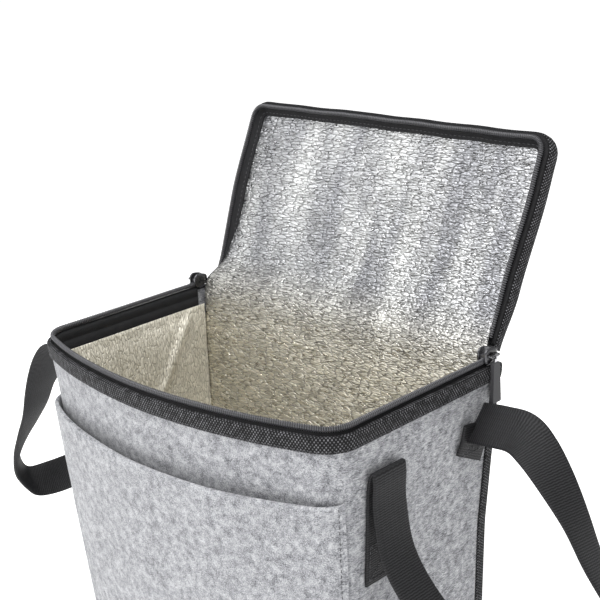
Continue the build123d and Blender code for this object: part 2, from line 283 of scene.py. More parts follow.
@dataclass(frozen=True)
class RibbedWebbing(Finish):
    """Polypropylene webbing: weft ribs across the strap, cut into short steps by the warp."""

    label: str = "polypropylene_webbing"
    slot: str = "webbing"
    base: str = "#0e0e0f"
    crest: str = "#2b2b2d"
    rib_mm: float = 1.4
    warp_mm: float = 1.7

    def colour(self, tree: bpy.types.NodeTree, shader: bpy.types.Node) -> None:
        """Ribs across U, with each warp column half a rib from its neighbour."""
        space = pattern_space(tree, Space.SURFACE, (1 / self.warp_mm, 1 / self.rib_mm, 1.0))
        parts = add(tree, "ShaderNodeSeparateXYZ", {"Vector": space})
        column = math_node(tree, "COSINE", math_node(tree, "MULTIPLY", parts.outputs["X"], math.pi))
        step = math_node(tree, "MULTIPLY", column, 0.55)
        ribs = math_node(tree, "COSINE", math_node(
            tree, "ADD", math_node(tree, "MULTIPLY", parts.outputs["Y"], math.tau), step))
        warp = math_node(tree, "ABSOLUTE", column)
        woven = math_node(tree, "ADD", math_node(tree, "MULTIPLY", ribs, 0.75),
                          math_node(tree, "MULTIPLY", warp, 0.25))
        height = math_node(tree, "MULTIPLY_ADD", woven, 0.5, 0.5)
        fuzz_space = pattern_space(tree, Space.SOLID, (1000 / 2.2,) * 3)
        fuzz = noise_value(tree, fuzz_space, Detail=3.0)
        shown = math_node(tree, "MULTIPLY", height, math_node(tree, "MULTIPLY_ADD", fuzz, 0.9, 0.5))
        tone = ramp(tree, shown, [(0.2, srgb(self.base)), (0.85, srgb(self.crest))])
        tree.links.new(tone, shader.inputs["Base Color"])
        set_shader(shader, Roughness=0.62, Specular_IOR_Level=0.25)
        link_bump(tree, shader, height, 0.35, 0.7)


@dataclass(frozen=True)
class FineTape(Finish):
    """Woven polyester tape: a fine herringbone twill with a dull gloss."""

    label: str = "polyester_tape_twill"
    slot: str = "lining_tape"
    base: str = "#121213"
    crest: str = "#2c2c2e"
    thread_mm: float = 0.8

    def colour(self, tree: bpy.types.NodeTree, shader: bpy.types.Node) -> None:
        """Diagonal threads on the piece's own UV map."""
        space = pattern_space(tree, Space.SURFACE, (1 / self.thread_mm, 1 / self.thread_mm, 1.0))
        parts = add(tree, "ShaderNodeSeparateXYZ", {"Vector": space})
        slope = math_node(tree, "ADD", parts.outputs["X"], parts.outputs["Y"])
        threads = math_node(tree, "COSINE", math_node(tree, "MULTIPLY", slope, math.tau))
        height = math_node(tree, "MULTIPLY_ADD", threads, 0.5, 0.5)
        soft_space = pattern_space(tree, Space.SOLID, (1000 / 6.0,) * 3)
        soft = noise_value(tree, soft_space, Detail=2.0)
        shown = math_node(tree, "MULTIPLY", height, math_node(tree, "MULTIPLY_ADD", soft, 0.8, 0.6))
        tone = ramp(tree, shown, [(0.0, srgb(self.base)), (1.0, srgb(self.crest))])
        tree.links.new(tone, shader.inputs["Base Color"])
        set_shader(shader, Roughness=0.66, Specular_IOR_Level=0.2)
        link_bump(tree, shader, height, 0.2, 0.5)


@dataclass(frozen=True)
class ZipTape(FineTape):
    """Zip tape: the same twill, darker, as it lies in the groove."""

    label: str = "polyester_zip_tape"
    slot: str = "zip_tape"
    base: str = "#0b0b0c"
    crest: str = "#1e1e20"


@dataclass(frozen=True)
class NylonCoil(Finish):
    """Nylon monofilament wound into a coil: smooth plastic with a soft gloss on each turn."""

    label: str = "nylon_coil"
    slot: str = "zip_coil"
    tone: str = "#101011"
    pale: str = "#515155"

    def colour(self, tree: bpy.types.NodeTree, shader: bpy.types.Node) -> None:
        """Near-black, paler on the crest of each turn, with slight scuffs. U counts the turns."""
        space = pattern_space(tree, Space.SOLID, (1000 / 2.5,) * 3)
        scuffs = noise_value(tree, space, Detail=4.0)
        turns = add(tree, "ShaderNodeSeparateXYZ", {
            "Vector": pattern_space(tree, Space.SURFACE, (1.0, 1.0, 1.0))})
        crest = math_node(tree, "COSINE", math_node(tree, "MULTIPLY", turns.outputs["X"], math.tau))
        shown = math_node(tree, "MULTIPLY", math_node(tree, "MULTIPLY_ADD", crest, 0.5, 0.5),
                          math_node(tree, "MULTIPLY_ADD", scuffs, 0.8, 0.6))
        tree.links.new(ramp(tree, shown, [(0.3, srgb(self.tone)), (0.9, srgb(self.pale))]),
                       shader.inputs["Base Color"])
        rough = add(tree, "ShaderNodeMapRange", {"Value": scuffs, "To Min": 0.36, "To Max": 0.52})
        tree.links.new(rough.outputs["Result"], shader.inputs["Roughness"])
        set_shader(shader, IOR=1.53)


@dataclass(frozen=True)
class EmbossedFoil(Finish):
    """Aluminised polyethylene film on foam: bright metal with fine heat-set crinkles."""

    label: str = "aluminised_film_cool"
    slot: str = "foil"
    # bright and dull: the two tones of the painted reflection streaks.
    bright: str = "#f3f4f4"
    dull: str = "#b4b5ba"
    # Painted shade: the darker colour laid along the creases of the film.
    crease_shade: str = "#5c5c5a"
    aged: str = "#efeadb"
    aged_below_mm: float = 212.0
    cell_mm: tuple = (7.0, 1.9)
    streak_mm: tuple = (30.0, 150.0)
    streak_turn: float = 14.0
    roughness: tuple = (0.24, 0.42)
    metal: float = 1.0
    bump_mm: float = 0.5

    def facets(self, tree: bpy.types.NodeTree, finer: float) -> tuple:
        """Creased cells on the piece's own UV map.

        Args:
            tree: The material's tree.
            finer: By how much the cells are smaller than the main ones.

        Returns:
            The distance from the nearest fold line, and a random value for each cell that sets its painted
            glint.
        """
        wide, narrow = (size / finer for size in self.cell_mm)
        space = pattern_space(tree, Space.SURFACE, (1 / wide, 1 / narrow, 1.0))
        bend = add(tree, "ShaderNodeTexNoise", {"Vector": space, "Scale": 0.55, "Detail": 2.0})
        bent = add(tree, "ShaderNodeVectorMath", {0: bend.outputs["Color"], 1: (1.3, 1.3, 0.0), 2: space},
                   operation="MULTIPLY_ADD").outputs["Vector"]
        edge = add(tree, "ShaderNodeTexVoronoi", {"Vector": bent, "Scale": 1.0}, voronoi_dimensions="2D",
                   feature="DISTANCE_TO_EDGE").outputs["Distance"]
        cell = add(tree, "ShaderNodeTexVoronoi", {"Vector": bent, "Scale": 1.0},
                   voronoi_dimensions="2D").outputs["Color"]
        return edge, add(tree, "ShaderNodeSeparateColor", {"Color": cell}).outputs["Red"]

    def colour(self, tree: bpy.types.NodeTree, shader: bpy.types.Node) -> None:
        """Creased facets of two sizes under broad soft streaks, with painted shade along the creases, a
        painted glint on each facet and painted reflection streaks in the base colour.
        """
        edge, shade = self.facets(tree, 1.0)
        fine_edge, fine_shade = self.facets(tree, 1.9)
        # Painted reflection: broad soft streaks of brighter and duller film colour.
        streak_space = pattern_space(
            tree, Space.SURFACE, (1 / self.streak_mm[0], 1 / self.streak_mm[1], 1.0), self.streak_turn)
        streaks = noise_value(tree, streak_space, Detail=2.0)
        film = ramp(tree, streaks, [(0.36, srgb(self.dull)), (0.62, srgb(self.bright))])
        height = add(tree, "ShaderNodeSeparateXYZ", {
            "Vector": pattern_space(tree, Space.SURFACE, (1.0, 1.0, 1.0))})
        fresh = add(tree, "ShaderNodeMapRange", {
            "Value": height.outputs["Y"], "From Min": self.aged_below_mm - 25.0,
            "From Max": self.aged_below_mm + 25.0})
        film = add(tree, "ShaderNodeMix", {
            "Factor": fresh.outputs["Result"], "A": srgb(self.aged), "B": film},
            data_type="RGBA").outputs["Result"]
        # Painted glint: each facet gets its own brightness, as though it were tilted differently to the
        # light.
        wear_and_glint = math_node(tree, "MULTIPLY_ADD", math_node(tree, "ADD", shade, fine_shade), 0.3, 0.52)
        depth = math_node(tree, "MULTIPLY", math_node(tree, "SMOOTH_MIN", edge, 0.16, 0.05), 6.0)
        lit = math_node(tree, "MULTIPLY", wear_and_glint, math_node(tree, "MINIMUM", math_node(
            tree, "MULTIPLY_ADD", depth, 0.75, 0.4), 1.0))
        # Painted shade along the creases and painted glint on the facets, both mixed into the base colour.
        tone = add(tree, "ShaderNodeMix", {"Factor": lit, "A": srgb(self.crease_shade), "B": film},
                   data_type="RGBA")
        tree.links.new(tone.outputs["Result"], shader.inputs["Base Color"])
        low, high = self.roughness
        rough = add(tree, "ShaderNodeMapRange", {"Value": fine_shade, "To Min": low, "To Max": high})
        tree.links.new(rough.outputs["Result"], shader.inputs["Roughness"])
        set_shader(shader, Metallic=self.metal)
        relief = math_node(tree, "ADD", depth, math_node(tree, "MULTIPLY", shade, 0.5))
        coarse = link_bump(tree, shader, relief, self.bump_mm, 0.8)
        link_bump(tree, shader, math_node(tree, "MINIMUM", fine_edge, 0.3), self.bump_mm * 1.6, 0.8, coarse)


@dataclass(frozen=True)
class WarmFoil(EmbossedFoil):
    """The same film on the walls and floor, where it has yellowed slightly and lies looser."""

    label: str = "aluminised_film_warm"
    # bright and dull: the two tones of the painted reflection streaks.
    bright: str = "#fffcf0"
    dull: str = "#f6f1e2"
    # Painted shade: the darker colour laid along the creases of the film.
    crease_shade: str = "#9a9484"
    cell_mm: tuple = (2.0, 5.5)
    streak_mm: tuple = (40.0, 40.0)
    roughness: tuple = (0.3, 0.5)
    metal: float = 0.2


@dataclass(frozen=True)
class BlackZinc(Finish):
    """Die-cast zinc with black enamel, worn bright along its edges."""

    label: str = "zinc_black_enamel"
    slot: str = "slider_metal"
    tone: str = "#1c1c1e"
    wear_and_glint: str = "#6a6a6e"

    def colour(self, tree: bpy.types.NodeTree, shader: bpy.types.Node) -> None:
        """Enamel with pointed wear."""
        wear = add(tree, "ShaderNodeNewGeometry").outputs["Pointiness"]
        tree.links.new(ramp(tree, wear, [(0.5, srgb(self.tone)), (0.62, srgb(self.wear_and_glint))]),
                       shader.inputs["Base Color"])
        set_shader(shader, Roughness=0.22, Metallic=0.6, Coat_Weight=0.5, Coat_Roughness=0.1)


@dataclass(frozen=True)
class NickelWire(Finish):
    """Nickel-plated steel wire: bright, with fine drawn scratches."""

    label: str = "nickel_plated_steel"
    slot: str = "link_metal"
    tone: str = "#c9c9cc"

    def colour(self, tree: bpy.types.NodeTree, shader: bpy.types.Node) -> None:
        """Plating with scratches along it."""
        space = pattern_space(tree, Space.SOLID, (3000.0, 3000.0, 300.0))
        scratches = noise_value(tree, space)
        rough = add(tree, "ShaderNodeMapRange", {"Value": scratches, "To Min": 0.12, "To Max": 0.34})
        tree.links.new(rough.outputs["Result"], shader.inputs["Roughness"])
        set_shader(shader, Base_Color=srgb(self.tone), Metallic=1.0)


@dataclass(frozen=True)
class SoftPvc(Finish):
    """Moulded soft PVC: matt, with a fine spark-eroded grain."""

    label: str = "soft_pvc_matt"
    slot: str = "tab_rubber"
    tone: str = "#333335"
    pale: str = "#434346"
    grain_mm: float = 0.35

    def colour(self, tree: bpy.types.NodeTree, shader: bpy.types.Node) -> None:
        """Grain and a faint bloom."""
        space = pattern_space(tree, Space.SOLID, (1000 / self.grain_mm,) * 3)
        grain = noise_value(tree, space, Detail=2.0)
        tree.links.new(ramp(tree, grain, [(0.3, srgb(self.tone)), (0.8, srgb(self.pale))]),
                       shader.inputs["Base Color"])
        set_shader(shader, Roughness=0.58, Specular_IOR_Level=0.4)
        link_bump(tree, shader, grain, 0.06, 0.6)


@dataclass(frozen=True)
class CellFoam(Finish):
    """Closed-cell polyethylene foam: off-white cells under a dull skin."""

    label: str = "polyethylene_foam"
    slot: str = "foam"
    tone: str = "#e6e5e0"
    shade: str = "#cfcec8"
    cell_mm: float = 1.2

    def colour(self, tree: bpy.types.NodeTree, shader: bpy.types.Node) -> None:
        """Cells in the solid."""
        space = pattern_space(tree, Space.SOLID, (1000 / self.cell_mm,) * 3)
        cells = add(tree, "ShaderNodeTexVoronoi", {"Vector": space, "Scale": 1.0}).outputs["Distance"]
        tree.links.new(ramp(tree, cells, [(0.0, srgb(self.shade)), (0.6, srgb(self.tone))]),
                       shader.inputs["Base Color"])
        set_shader(shader, Roughness=0.85)
        link_bump(tree, shader, cells, 0.2, 0.5)


@dataclass(frozen=True)
class SewingThread(Finish):
    """Bonded polyester thread, two plies twisted together."""

    label: str = "polyester_thread"
    slot: str = "lining_tape"
    tone: str = "#2a2a2c"
    pale: str = "#4c4c50"

    def colour(self, tree: bpy.types.NodeTree, shader: bpy.types.Node) -> None:
        """Slanted plies."""
        space = pattern_space(tree, Space.SOLID, (1000 / 0.7, 1000 / 0.7, 1000 / 0.7), 35.0)
        plies = add(tree, "ShaderNodeTexWave", {"Vector": space, "Scale": 0.5}).outputs["Fac"]
        tree.links.new(ramp(tree, plies, [(0.2, srgb(self.tone)), (0.9, srgb(self.pale))]),
                       shader.inputs["Base Color"])
        set_shader(shader, Roughness=0.5)


# ---------------------------------------------------------------- small tools for meshes
Place = Callable[[int, int], Vector]
Chart = Callable[[int, int], tuple[float, float]]


def wave(*place: float) -> float:
    """Smooth, repeatable unevenness between about -1 and 1."""
    return noise.noise(Vector(place))


def smooth_step(low: float, high: float, value: float) -> float:
    """A share that eases from 0 at low to 1 at high."""
    t = min(1.0, max(0.0, (value - low) / (high - low)))
    return t * t * (3 - 2 * t)


def laid_grid(columns: int, rows: int, place: Place, chart: Chart) -> bmesh.types.BMesh:
    """A grid whose vertices are laid onto a surface.

    Args:
        columns: Vertices along U.
        rows: Vertices along V.
        place: Gives a vertex's place in millimetres.
        chart: Gives a vertex's UV in millimetres.

    Returns:
        The new bmesh.
    """
    bm = bmesh.new()
    bmesh.ops.create_grid(bm, x_segments=columns - 1, y_segments=rows - 1, size=1.0)
    layer = bm.loops.layers.uv.verify()
    spots = [(round((v.co.x + 1) / 2 * (columns - 1)), round((v.co.y + 1) / 2 * (rows - 1)))
             for v in bm.verts]
    bm.verts.index_update()
    for face in bm.faces:
        face.smooth = True
        for loop in face.loops:
            loop[layer].uv = chart(*spots[loop.vert.index])
    for vertex, spot in zip(bm.verts, spots):
        vertex.co = place(*spot)
    return bm


Profile = Sequence[tuple[float, float]]


def swept(profile: Profile, stations: Sequence[float], place: Callable[[float, float, float], Vector],
          closed: bool = False) -> bmesh.types.BMesh:
    """A closed section carried along a line.

    Args:
        profile: Points of the section, in order round it.
        stations: Distances along the line.
        place: Gives the place of a section's point at a station.
        closed: Whether the line comes back to its start.

    Returns:
        A watertight bmesh, with the distance along the line as U and round the section as V.
    """
    ring = list(profile) + [profile[0]]
    lengths = [0.0]
    for (a, b), (c, d) in zip(ring, ring[1:]):
        lengths.append(lengths[-1] + math.hypot(c - a, d - b))
    bm = laid_grid(len(stations), len(ring), lambda i, j: place(stations[i], *ring[j]),
                   lambda i, j: (stations[i], lengths[j]))
    bmesh.ops.remove_doubles(bm, verts=bm.verts, dist=1e-4)
    if not closed:
        cap_openings(bm)
    bmesh.ops.recalc_face_normals(bm, faces=bm.faces)
    return bm


def cap_openings(bm: bmesh.types.BMesh) -> None:
    """Closes every open loop with a flat face whose edges are sharp."""
    rim = [e for e in bm.edges if e.is_boundary]
    made = bmesh.ops.holes_fill(bm, edges=rim, sides=0)
    for face in made["faces"]:
        face.smooth = False
        for edge in face.edges:
            edge.smooth = False


def rounded_section(low_a: float, high_a: float, low_b: float, high_b: float, radius: float,
                    steps: int = 3, rows: int = 1) -> list[tuple[float, float]]:
    """A rectangle with rounded corners.

    Args:
        low_a: Lowest first coordinate.
        high_a: Highest first coordinate.
        low_b: Lowest second coordinate.
        high_b: Highest second coordinate.
        radius: Of the corners.
        steps: Segments in each corner.
        rows: Divisions of the two long sides along the second coordinate.

    Returns:
        Its points, in order.
    """
    corners = [(high_a - radius, low_b + radius, -90), (high_a - radius, high_b - radius, 0),
               (low_a + radius, high_b - radius, 90), (low_a + radius, low_b + radius, 180)]
    points: list[tuple[float, float]] = []
    for index, (a, b, start) in enumerate(corners):
        if rows > 1 and index in (1, 3) and points:
            last = points[-1]
            goal = b
            points += [(last[0], last[1] + (goal - last[1]) * r / rows) for r in range(1, rows)]
        for step in range(steps + 1):
            angle = math.radians(start + 90 * step / steps)
            points.append((a + radius * math.cos(angle), b + radius * math.sin(angle)))
    return points


def stretch(start: float, end: float, step: float) -> list[float]:
    """Even stations from start to end, about a step apart."""
    count = max(1, round((end - start) / step))
    return [start + (end - start) * i / count for i in range(count + 1)]


def catmull_rom(keys: Sequence[Vector], steps: int) -> list[Vector]:
    """A smooth line through the keys.

    Args:
        keys: Points that it passes.
        steps: Points from one key to the next.

    Returns:
        The line's points.
    """
    ends = [keys[0] * 2 - keys[1], *keys, keys[-1] * 2 - keys[-2]]
    line = []
    for a, b, c, d in zip(ends, ends[1:], ends[2:], ends[3:]):
        for step in range(steps):
            t = step / steps
            line.append((b * 2 + (c - a) * t + (a * 2 - b * 5 + c * 4 - d) * t * t
                         + (b * 3 - a - c * 3 + d) * t ** 3) / 2)
    return line + [keys[-1].copy()]


def stitches(bm: bmesh.types.BMesh, line: Sequence[Vector], pitch: float = 3.2, length: float = 2.3,
             thickness: float = 0.5) -> None:
    """Adds a row of sewn stitches along a line.

    Args:
        bm: The bmesh they go into.
        line: The seam's points, in millimetres.
        pitch: From one stitch to the next.
        length: Of the thread that shows.
        thickness: Of the thread.
    """
    travelled, due = 0.0, pitch / 2
    for a, b in zip(line, line[1:]):
        run = (b - a).length
        while run > 0 and travelled + run >= due:
            spot = a + (b - a) * ((due - travelled) / run)
            turned = (b - a).to_track_quat("X", "Z").to_matrix().to_4x4()
            shape = Matrix.Translation(spot) @ turned @ Matrix.Diagonal(
                (length / 2, thickness / 2, thickness / 2, 1.0))
            bmesh.ops.create_icosphere(bm, subdivisions=1, radius=1.0, matrix=shape)
            due += pitch
        travelled += run


def made_piece(name: str, bm: bmesh.types.BMesh, finish: Finish) -> bpy.types.Object:
    """Turns a bmesh in millimetres into a piece in metres.

    Args:
        name: The piece's name.
        bm: Its bmesh, which is freed.
        finish: What it is made of.

    Returns:
        The piece, at the origin.
    """
    bmesh.ops.scale(bm, vec=(MM,) * 3, verts=bm.verts)
    mesh = bpy.data.meshes.new(name)
    bm.to_mesh(mesh)
    bm.free()
    piece = bpy.data.objects.new(name, mesh)
    bpy.context.scene.collection.objects.link(piece)
    mesh.materials.append(finish.material())
    LOG.info("%s: %d faces", name, len(mesh.polygons))
    return piece


# ---------------------------------------------------------------- the shapes that pieces follow
@dataclass(frozen=True)
class Level:
    """The body's size at one height."""

    z: float
    width: float
    depth: float
    bow: float


@dataclass(frozen=True)
class BodyForm:
    """Outer form of the body: straight back and sides, bowed front, between three heights."""

    levels: tuple = (Level(0, 220, 112, 8), Level(120, 227, 117, 20), Level(220, 240, 130, 22.5))
    corner: float = 19.0
    slack: float = 1.1

    def level_at(self, z: float) -> Level:
        """The size at a height."""
        low, high = self.levels[:2] if z <= self.levels[1].z else self.levels[1:]
        share = (z - low.z) / (high.z - low.z)
        return Level(z, *(a + (b - a) * share for a, b in (
            (low.width, high.width), (low.depth, high.depth), (low.bow, high.bow))))

    def runs(self) -> tuple[float, float, float]:
        """Lengths of a side, a corner and the front at the rim."""
        top = self.levels[-1]
        half = top.width / 2
        radius = (half * half + top.bow ** 2) / (2 * top.bow)
        turn = math.asin((half - self.corner) / (radius - self.corner))
        centre = -top.depth / 2 - top.bow + radius
        corner_y = centre - (radius - self.corner) * math.cos(turn)
        return top.depth / 2 - corner_y, self.corner * (math.pi / 2 - turn), 2 * radius * turn

    def length(self) -> float:
        """From one back seam round the front to the other."""
        side, corner, front = self.runs()
        return 2 * (side + corner) + front

    def plain(self, s: float, z: float, inset: float, extra_bow: float = 0.0) -> Vector:
        """A place on the undisturbed wall.

        Args:
            s: Distance from the right back seam round the front, measured at the rim.
            z: Height.
            inset: Depth into the wall.
            extra_bow: By how much the front stands out further.

        Returns:
            The place in millimetres.
        """
        level = self.level_at(z)
        half, back, bow = level.width / 2, level.depth / 2, level.bow + extra_bow
        radius = (half * half + bow * bow) / (2 * bow)
        centre = -back - bow + radius
        reach = radius - self.corner
        corner_x = half - self.corner
        corner_y = centre - math.sqrt(reach * reach - corner_x * corner_x)
        side, corner, front = self.runs()
        hand = 1.0 if s <= self.length() / 2 else -1.0
        run = s if hand > 0 else self.length() - s
        start = math.atan2(corner_y - centre, corner_x)
        if run <= side:
            start_y = back - inset
            x, y = half - inset, start_y + (corner_y - start_y) * run / side
        elif run <= side + corner:
            angle = start * (run - side) / corner
            x = corner_x + (self.corner - inset) * math.cos(angle)
            y = corner_y + (self.corner - inset) * math.sin(angle)
        else:
            share = min(1.0, (run - side - corner) / (front / 2))
            angle = start + (-math.pi / 2 - start) * share
            x = (radius - inset) * math.cos(angle)
            y = centre + (radius - inset) * math.sin(angle)
        return Vector((hand * x, y, z))

    def place(self, s: float, z: float, inset: float, extra_bow: float = 0.0) -> Vector:
        """A place on the wall with the slack of real fabric, the same for every layer."""
        point = self.plain(s, z, inset, extra_bow)
        side, corner, _ = self.runs()
        run = min(s, self.length() - s)
        if run < side + corner / 2:
            outward = Vector((1.0 if s < self.length() / 2 else -1.0, 0, 0))
        else:
            outward = (self.plain(s, z, -1.0, extra_bow) - self.plain(s, z, 0.0, extra_bow)).normalized()
        hold = smooth_step(0, 18, run) * (0.3 + 0.7 * smooth_step(212, 180, z)) * smooth_step(0, 25, z)
        return point + outward * self.slack * hold * 1.6 * wave(s / 62.0, z / 80.0, 4.2)

    def back(self, across: float, z: float, inset: float) -> Vector:
        """A place on the back wall, across from -1 at the left seam to 1 at the right one."""
        level = self.level_at(z)
        hold = (1 - across * across) * smooth_step(215, 180, z) * smooth_step(0, 25, z)
        return Vector((across * (level.width / 2 - inset),
                       level.depth / 2 - inset + hold * 1.2 * wave(across * 1.7, z / 80.0, 9.1), z))


@dataclass(frozen=True)
class LidForm:
    """Form of the lid: a rounded rectangle that hinges on its straight back edge."""

    half: float = 120.0
    reach: float = 122.0
    corner: float = 11.0
    depth: float = 14.0
    hinge_y: float = 65.0
    hinge_z: float = 221.3
    lift: float = 1.3
    angle: float = 116.0
    gather_hinge: float = 0.06
    gather_edge: float = 0.026
    pinch: float = 0.6

    def gathered(self, x: float, out: float) -> float:
        """Across, where the sewn edges draw the lid in, most of all beside the hinge."""
        share = self.gather_edge + (self.gather_hinge - self.gather_edge) * smooth_step(95, 6, out)
        return x * (1 - share) - 3.5 * smooth_step(0, 70, out)

    def rest(self, x: float, out: float, t: float) -> Vector:
        """A place on the open lid.

        Args:
            x: Across the bag.
            out: Distance from the hinge towards the lid's free edge.
            t: Height above the lid's lower face.

        Returns:
            The place in millimetres.
        """
        turn = math.radians(self.angle)
        up = t * (self.pinch + (1 - self.pinch) * smooth_step(0, 34, out)) + self.lift
        x = self.gathered(x, out)
        return Vector((x, self.hinge_y - out * math.cos(turn) + up * math.sin(turn),
                       self.hinge_z + out * math.sin(turn) + up * math.cos(turn)))

    def length(self) -> float:
        """From the right end of the hinge round the free edge to the left end."""
        return 2 * (self.reach - self.corner) + math.pi * self.corner + 2 * (self.half - self.corner)

    def outline(self, s: float, inset: float) -> tuple[float, float]:
        """Across and out at a distance along the outline, at an inset from it."""
        hand = 1.0 if s <= self.length() / 2 else -1.0
        run = s if hand > 0 else self.length() - s
        side = self.reach - self.corner
        turn = math.pi / 2 * self.corner
        if run <= side:
            return hand * (self.half - inset), run
        if run <= side + turn:
            angle = (run - side) / self.corner
            return (hand * (self.half - self.corner + (self.corner - inset) * math.cos(angle)),
                    side + (self.corner - inset) * math.sin(angle))
        return hand * (self.half - self.corner - (run - side - turn)), self.reach - inset

    def place(self, s: float, t: float, inset: float) -> Vector:
        """A place along the lid's edge, with the slight waves of a sewn edge."""
        x, out = self.outline(s, inset)
        hold = smooth_step(0, 30, min(s, self.length() - s))
        x += 0.7 * hold * wave(s / 38.0, 1.7, 0.3)
        out += 0.9 * hold * wave(s / 34.0, 6.1, 2.2) * smooth_step(60, 110, out)
        return self.rest(x, out, t + 0.8 * hold * wave(s / 42.0, 3.3, 7.7))


BODY = BodyForm()
LID = LidForm()


# ---------------------------------------------------------------- the front, cut from the sides on one plane
@dataclass(frozen=True)
class FrontFold:
    """The bowed front. Pieces are cut on one plane and share it."""

    point: tuple = (0.0, -47.0, 220.0)
    normal: tuple = (0.0, -0.99703, 0.07704)
    keep: float = 0.25

    def split(self, name: str, bm: bmesh.types.BMesh, finish: Finish, nodes: Sequence[str]) -> None:
        """Cuts a layer of the wall into the sides and the front.

        Args:
            name: The layer's name.
            bm: Its bmesh, in millimetres.
            finish: What it is made of.
            nodes: The CAD nodes that it stands for.
        """
        for part, other in (("sides", bm.copy()), ("front", bm)):
            bmesh.ops.bisect_plane(
                other, geom=[*other.verts, *other.edges, *other.faces], dist=1e-5, plane_co=self.point,
                plane_no=self.normal, clear_outer=part == "sides", clear_inner=part == "front")
            cap_openings(other)
            piece = made_piece(f"{name}_{part}", other, finish)
            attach(piece, "bag")
            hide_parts(*nodes)
            if part == "front":
                self.lean(piece)

    def lean(self, piece: bpy.types.Object) -> None:
        """Gives the piece a mesh of its own."""
        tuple(self.normal)
        [c * MM for c in self.point]
        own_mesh(piece)


FOLD = FrontFold()


def ridden(piece: bpy.types.Object, body: str, *nodes: str) -> bpy.types.Object:
    """A piece that rides on a body and stands for CAD nodes."""
    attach(piece, body)
    if nodes:
        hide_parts(*nodes)
    return piece


# ---------------------------------------------------------------- sub-assemblies
@dataclass
class FeltBody:
    """Felt walls, the pocket on the front and the bindings of the back seams."""

    thickness: float = 2.5
    top: float = 213.8
    band_bottom: float = 206.0
    pocket_mouth: float = 177.5
    pocket_gap: float = 8.0
    binding: float = 1.0
    binding_leg: float = 6.0
    pocket_inset: float = 9.0
    pocket_bottom: float = 4.0
    felt: MelangeFelt = field(default_factory=MelangeFelt)
    weave: DottedWeave = field(default_factory=DottedWeave)
    thread: SewingThread = field(default_factory=SewingThread)

    def wall(self) -> None:
        """Front and sides in one length of felt."""
        profile = rounded_section(0.0, self.thickness, 0.2, self.top, 0.5, 1, rows=44)
        bm = swept(profile, stretch(0.0, BODY.length(), 4.0), lambda s, a, b: BODY.place(s, b, a))
        FOLD.split("felt_wall", bm, self.felt, ["felt_wrap"])

    def back(self) -> None:
        """Back panel between the side walls."""
        inner = self.thickness
        profile = rounded_section(0.0, inner, 0.2, self.top, 0.5, 1, rows=30)
        across = [i / 20 - 1 for i in range(41)]
        bm = swept(profile, across, lambda u, a, b: BODY.back(u, b, a) - Vector((u * (inner - a), 0, 0)))
        ridden(made_piece("felt_back", bm, self.felt), "bag", "felt_back_panel")

    def pocket(self) -> None:
        """Front pocket: one sheet of felt, sewn at both sides and below, slack at its mouth."""
        side = BODY.runs()[0]
        start, end = side + self.pocket_inset, BODY.length() - side - self.pocket_inset
        low, high = self.pocket_bottom, self.pocket_mouth

        def bulge(s: float, z: float) -> float:
            """Share of the mouth's gap, none at the seams."""
            share = (s - start) / (end - start)
            width = min(1.0, max(0.0, 4 * share * (1 - share))) ** 0.7
            return width * smooth_step(low, 70.0, z)

        def place(s: float, a: float, z: float) -> Vector:
            """A place in the pocket's felt."""
            lift = bulge(s, z)
            away = 0.35 + self.pocket_gap * 0.72 * lift * (0.55 + 0.45 * smooth_step(120, high, z))
            droop = 1.6 * bulge(s, high) * smooth_step(high - 30, high, z)
            return BODY.place(s, z - droop, -(away + a))

        profile = rounded_section(0.0, self.thickness, low, high, 0.6, 2, rows=40)
        bm = swept(profile, stretch(start, end, 3.5), place)
        piece = made_piece("pocket", bm, self.felt)
        ridden(piece, "bag", "pocket_panel")
        FOLD.lean(piece)
        seam = bmesh.new()
        line = [place(s, self.thickness + 0.1, low + 3.5) for s in stretch(start + 3, end - 3, 4)]
        stitches(seam, line)
        for s in (start + 3.2, end - 3.2):
            stitches(seam, [place(s, self.thickness + 0.1, z) for z in stretch(low + 3.5, high - 1, 6)])
        FOLD.lean(ridden(made_piece("pocket_seams", seam, self.thread), "bag"))

    def bindings(self) -> None:
        """Woven binding folded round each back seam."""
        reach = self.binding_leg
        for hand, name in ((1, "right"), (-1, "left")):

            def place(z: float, a: float, b: float, hand: int = hand) -> Vector:
                """A place off the back corner at a height."""
                level = BODY.level_at(z)
                return Vector((hand * (level.width / 2 + a), level.depth / 2 + b, z))

            t = self.binding
            profile = [(0.05, -reach), (t * 0.8, -reach + 0.1), (t, -reach + 0.6), (t * 1.15, -reach / 2),
                       (t, -0.9), (t * 0.9, 0.2), (t * 0.6, t * 0.75), (0.0, t), (-reach / 2, t * 1.15),
                       (-reach + 0.6, t), (-reach + 0.1, t * 0.8), (-reach, 0.05), (-reach / 2, 0.02),
                       (0.02, 0.02), (0.02, -reach / 2)]
            bm = swept(profile, stretch(2.6, self.band_bottom + 0.4, 6.0), place)
            piece = made_piece(f"seam_binding_{name}_woven", bm, self.weave)
            ridden(piece, "bag", f"seam_binding_{name}")
            seam = bmesh.new()
            for a, b in ((t * 1.1 + 0.1, -reach + 1.3), (-reach + 1.3, t * 1.1 + 0.1)):
                stitches(seam, [place(z, a, b) for z in stretch(5, self.band_bottom - 2, 6)])
            ridden(made_piece(f"seam_binding_{name}_thread", seam, self.thread), "bag")

    def build(self) -> None:
        """Makes every piece of the felt body."""
        self.wall()
        self.back()
        self.pocket()
        self.bindings()


